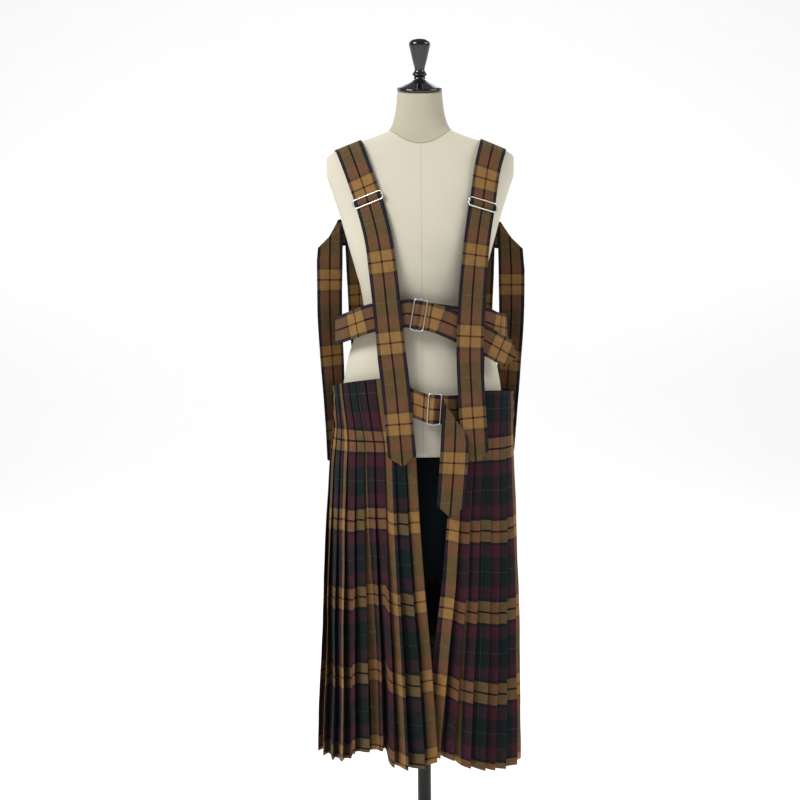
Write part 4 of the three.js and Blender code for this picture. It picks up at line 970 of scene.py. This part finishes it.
def sewn_along(start, end, z, steps=10):
    """A stretch laid level on the skirt's top corner, from one angle to another."""
    angle = np.radians(np.linspace(start, end, steps))
    middle = skirt_place(angle, np.full(steps, float(z)), 6.0)
    face = unit(skirt_place(angle, np.full(steps, float(z)), 7.0) - middle)
    way = np.stack([-face[:, 1], face[:, 0], 0 * face[:, 0]], -1) * np.sign(end - start)
    return sections_of(middle, way, face)


def fold_side(degrees, lift, over):
    """One side of the slanted fold: a section through its middle, its two ends slid along the cloth's way until
    they lie on the fold line. The side folded over lies in front and shows the cloth's other face."""
    out = facing(np.array([(0, 0, 0, 5, 0)], float))[0]
    way = np.array([math.cos(math.radians(degrees)), 0, -math.sin(math.radians(degrees))])
    way = unit(way - np.dot(way, out) * out)
    face = -out if over else out
    side = sections_of((FOLD_MIDDLE + lift * out)[None], way[None], face[None])
    return {**side, "slant": np.array([FOLD_SLANT])}


def bridged(one, two, steps):
    """Sections in even steps between two stretches, their directions made unit length again."""
    mixed = blended(one, two, np.linspace(0, 1, steps + 2)[1:-1])
    return {**mixed, **{key: unit(mixed[key]) for key in ("tangent", "out", "across")}}


sewn_left = some(sewn_along(248, 262.5, 989), slice(None, -3))
crossing = some(through(waist_slider, BELT_SLIDER), slice(4, -3))
under, over = fold_side(FOLD_IN, 0, False), fold_side(FOLD_OUT, PLY, True)
hanging = stretch(WAIST_TAIL, 10)
hanging = {**hanging, "out": -hanging["out"], "across": -hanging["across"]}
# the fold itself: three sections that swing out round the folded edge, all turned as the one under them
turned_over = bridged(under, over, 3)
swing = 0.6 * facing(np.array([(0, 0, 0, 95, 0)], float)) * np.array([[0.7], [1.0], [0.7]])
turned_over["middle"] = turned_over["middle"] + swing
for key in ("tangent", "out", "across"):
    turned_over[key] = np.repeat(under[key], 3, 0)
waist_left = joined(sewn_left, bridged(sewn_left, crossing, 9), crossing, bridged(crossing, under, 4), under,
                    turned_over, over, bridged(over, hanging, 6), hanging)
strap("waist_belt_left_cloth", waist_left, "waist_belt_left", near(waist_left, 868, True), tip=True, ripple=0.3)
sewn_right = sewn_along(310, 294, 968)
looped = bar_loop(waist_slider, BELT_SLIDER)
waist_right = joined(sewn_right, bridged(sewn_right, looped, 4), looped)
strap("waist_belt_right_cloth", waist_right, "waist_belt_right", start=40, ripple=0.2)

# Sliders
# Four nickel-plated wire buckles: a rounded rectangle of wire, and a thinner bar across its middle whose ends
# are curled into eyes round the frame's short sides, so that the bar can slide along them.
SLIDER_LENGTH = 63.0
FRAME_CORNER = 4.6
WIRE_SIDES = 12


def tube(name, line, radius, material, closed=False):
    """A wire: circles of one radius carried along a line, each turned into the plane across the line."""
    sides = WIRE_SIDES
    way = np.roll(line, -1, 0) - np.roll(line, 1, 0)
    if not closed:
        way[0], way[-1] = line[1] - line[0], line[-1] - line[-2]
    way = unit(way)
    helper = np.array([0.31, 0.52, 0.79])
    one = unit(helper - (way @ helper)[:, None] * way)
    two = np.cross(way, one)
    angle = np.linspace(0, 2 * np.pi, sides, endpoint=False)
    ring = radius * (np.cos(angle)[:, None] * one[:, None] + np.sin(angle)[:, None] * two[:, None])
    points = line[:, None] + ring
    if not closed:
        shrink = [line[:1, None] + 1e-3 * ring[:1], points, line[-1:, None] + 1e-3 * ring[-1:]]
        points = np.concatenate(shrink)
    grid = faces_of(len(points), sides, closed=True)
    if closed:
        n, j = len(points), np.arange(sides)
        k = (j + 1) % sides
        grid = np.vstack([grid, np.stack([(n - 1) * sides + j, (n - 1) * sides + k, k, j], -1)])
    return new_mesh(name, points * 0.001, grid, material)


def round_rectangle(width, length, corner, steps=8):
    """The middle line of the frame's wire: four quarter circles joined by straights."""
    angle = np.linspace(0, np.pi / 2, steps)
    quarter = np.stack([np.cos(angle), np.sin(angle)], -1) * corner
    middle = np.array([(width / 2 - corner, length / 2 - corner), (-width / 2 + corner, length / 2 - corner),
                       (-width / 2 + corner, -length / 2 + corner), (width / 2 - corner, -length / 2 + corner)])
    turns = [np.stack([quarter[:, 0] * math.cos(a) - quarter[:, 1] * math.sin(a),
                       quarter[:, 0] * math.sin(a) + quarter[:, 1] * math.cos(a)], -1) + m
             for a, m in zip(np.arange(4) * np.pi / 2, middle)]
    return np.vstack(turns)


def wire_metal():
    """Nickel plate: bright and slightly warm, with painted shade where the wire turns away from the view, its
    gloss finely scratched.
    """
    material, shader, nodes = node_material("nickel_wire", Metallic=1.0)
    place = nodes.put("TexCoord").outputs["Object"]
    scratches = nodes.put("TexNoise", {"Vector": place, "Scale": 700, "Detail": 4}).outputs["Fac"]
    shade = nodes.blend(scratches, (0.74, 0.71, 0.66, 1), (0.86, 0.83, 0.78, 1))
    # painted shade: the colour darkens towards black where the wire turns away from the view
    turned_away_shade = nodes.put("LayerWeight", {"Blend": 0.42}).outputs["Facing"]
    nodes.feed(shader, {"Base Color": nodes.blend(turned_away_shade, shade, (0.05, 0.047, 0.043, 1)),
                        "Roughness": nodes.ranged(scratches, 0, 1, 0.22, 0.40)})
    return material


nickel = wire_metal()


def in_slider(slider, points):
    """Points given as along, across and up in a slider's frame, up being counted from the wire's middle."""
    points = np.asarray(points, float)
    return (slider["centre"] + points[:, :1] * slider["along"] - points[:, 1:2] * slider["across"]
            + (points[:, 2:] + FRAME_LIFT) * slider["out"])


for key, (slider, width) in sliders.items():
    flat = round_rectangle(width - WIRE, SLIDER_LENGTH - WIRE, FRAME_CORNER)
    bent = in_slider(slider, np.hstack([flat, np.zeros((len(flat), 1))]))
    wire = tube(f"slider_{key}_wire", bent, WIRE / 2, nickel, closed=True)
    stands_for(wire, f"slider_{key}_frame")
    # the bar runs across the middle, passes over each short side and curls back under it
    eye = WIRE / 2 + BAR_RADIUS
    side = SLIDER_LENGTH / 2 - WIRE / 2
    curl = np.linspace(np.pi, -np.pi * 0.75, 20)
    loop = np.stack([np.linspace(0, 1.6, 20), side + eye * np.cos(curl), eye * np.sin(curl)], -1)
    straight = np.stack([np.zeros(12), np.linspace(-side + eye + 0.6, side - eye - 0.6, 12), np.zeros(12)], -1)
    path = np.vstack([loop[::-1] * np.array([-1, -1, 1]), straight, loop])
    bar = tube(f"slider_{key}_crossbar", in_slider(slider, path), BAR_RADIUS, nickel)
    stands_for(bar, f"slider_{key}_bar")

# Room
# A pale floor that bends up behind into a wall and glows a little, for the photo's even white. A key light from
# the upper left, a weaker one from the upper right and one from behind; seen from the photo's camera place.
floor_turn = np.linspace(0, np.pi / 2, 24)
floor_bend = np.stack([3.0 + 1.5 * np.sin(floor_turn), 1.5 - 1.5 * np.cos(floor_turn)], -1)
floor_line = np.vstack([[(-7.0, 0.0)], floor_bend, [(4.5, 7.0)]])[:, None]
sideways = np.linspace(-9, 9, 3) + 0 * floor_line[..., 0]
sweep = np.concatenate([sideways[..., None], np.repeat(floor_line, 3, 1)], -1)
paper, paper_shader, _ = node_material("paper_sweep", Roughness=0.9, Emission_Strength=0.46)
paper_shader.inputs["Base Color"].default_value = (0.86, 0.86, 0.86, 1)
paper_shader.inputs["Emission Color"].default_value = (1, 1, 1, 1)
room = new_mesh("paper_sweep", sweep, faces_of(len(floor_line), 3), paper)


def lamp(name, place, target, size, power):
    """A square soft light at a place, turned to look at its target."""
    light = bpy.data.lights.new(name, "AREA")
    light.size, light.energy = size, power
    lit = bpy.data.objects.new(name, light)
    place, target = np.array(place, float), np.array(target, float)
    look = target - place
    lit.location = place
    tip, turn = math.atan2(math.hypot(look[0], look[1]), -look[2]), math.atan2(look[1], look[0]) - math.pi / 2
    lit.rotation_euler = (tip, 0, turn)
    bpy.context.scene.collection.objects.link(lit)


lamp("key_light", (-1.7, -1.2, 3.0), (0, 0, 1.0), 1.2, 58)
lamp("fill_light", (2.1, -0.7, 2.6), (0, 0, 1.0), 1.4, 24)
lamp("back_light", (0.4, 2.2, 3.2), (0, 0, 1.2), 2.0, 22)
world = bpy.data.worlds.new("room_light")
world.use_nodes = True
world.node_tree.nodes["Background"].inputs["Color"].default_value = (1, 1, 1, 1)
world.node_tree.nodes["Background"].inputs["Strength"].default_value = 0.24
bpy.context.scene.world = world
bpy.context.scene.view_settings.view_transform = "Standard"

view = bpy.data.cameras.new("photo_camera")
view.sensor_width = 36
view.lens = 48.51
eye_point = bpy.data.objects.new("photo_camera", view)
eye_point.location = (-0.043, -2.2, 1.17)
eye_point.rotation_euler = (math.radians(85), math.radians(0.5), 0)
bpy.context.scene.collection.objects.link(eye_point)
bpy.context.scene.camera = eye_point
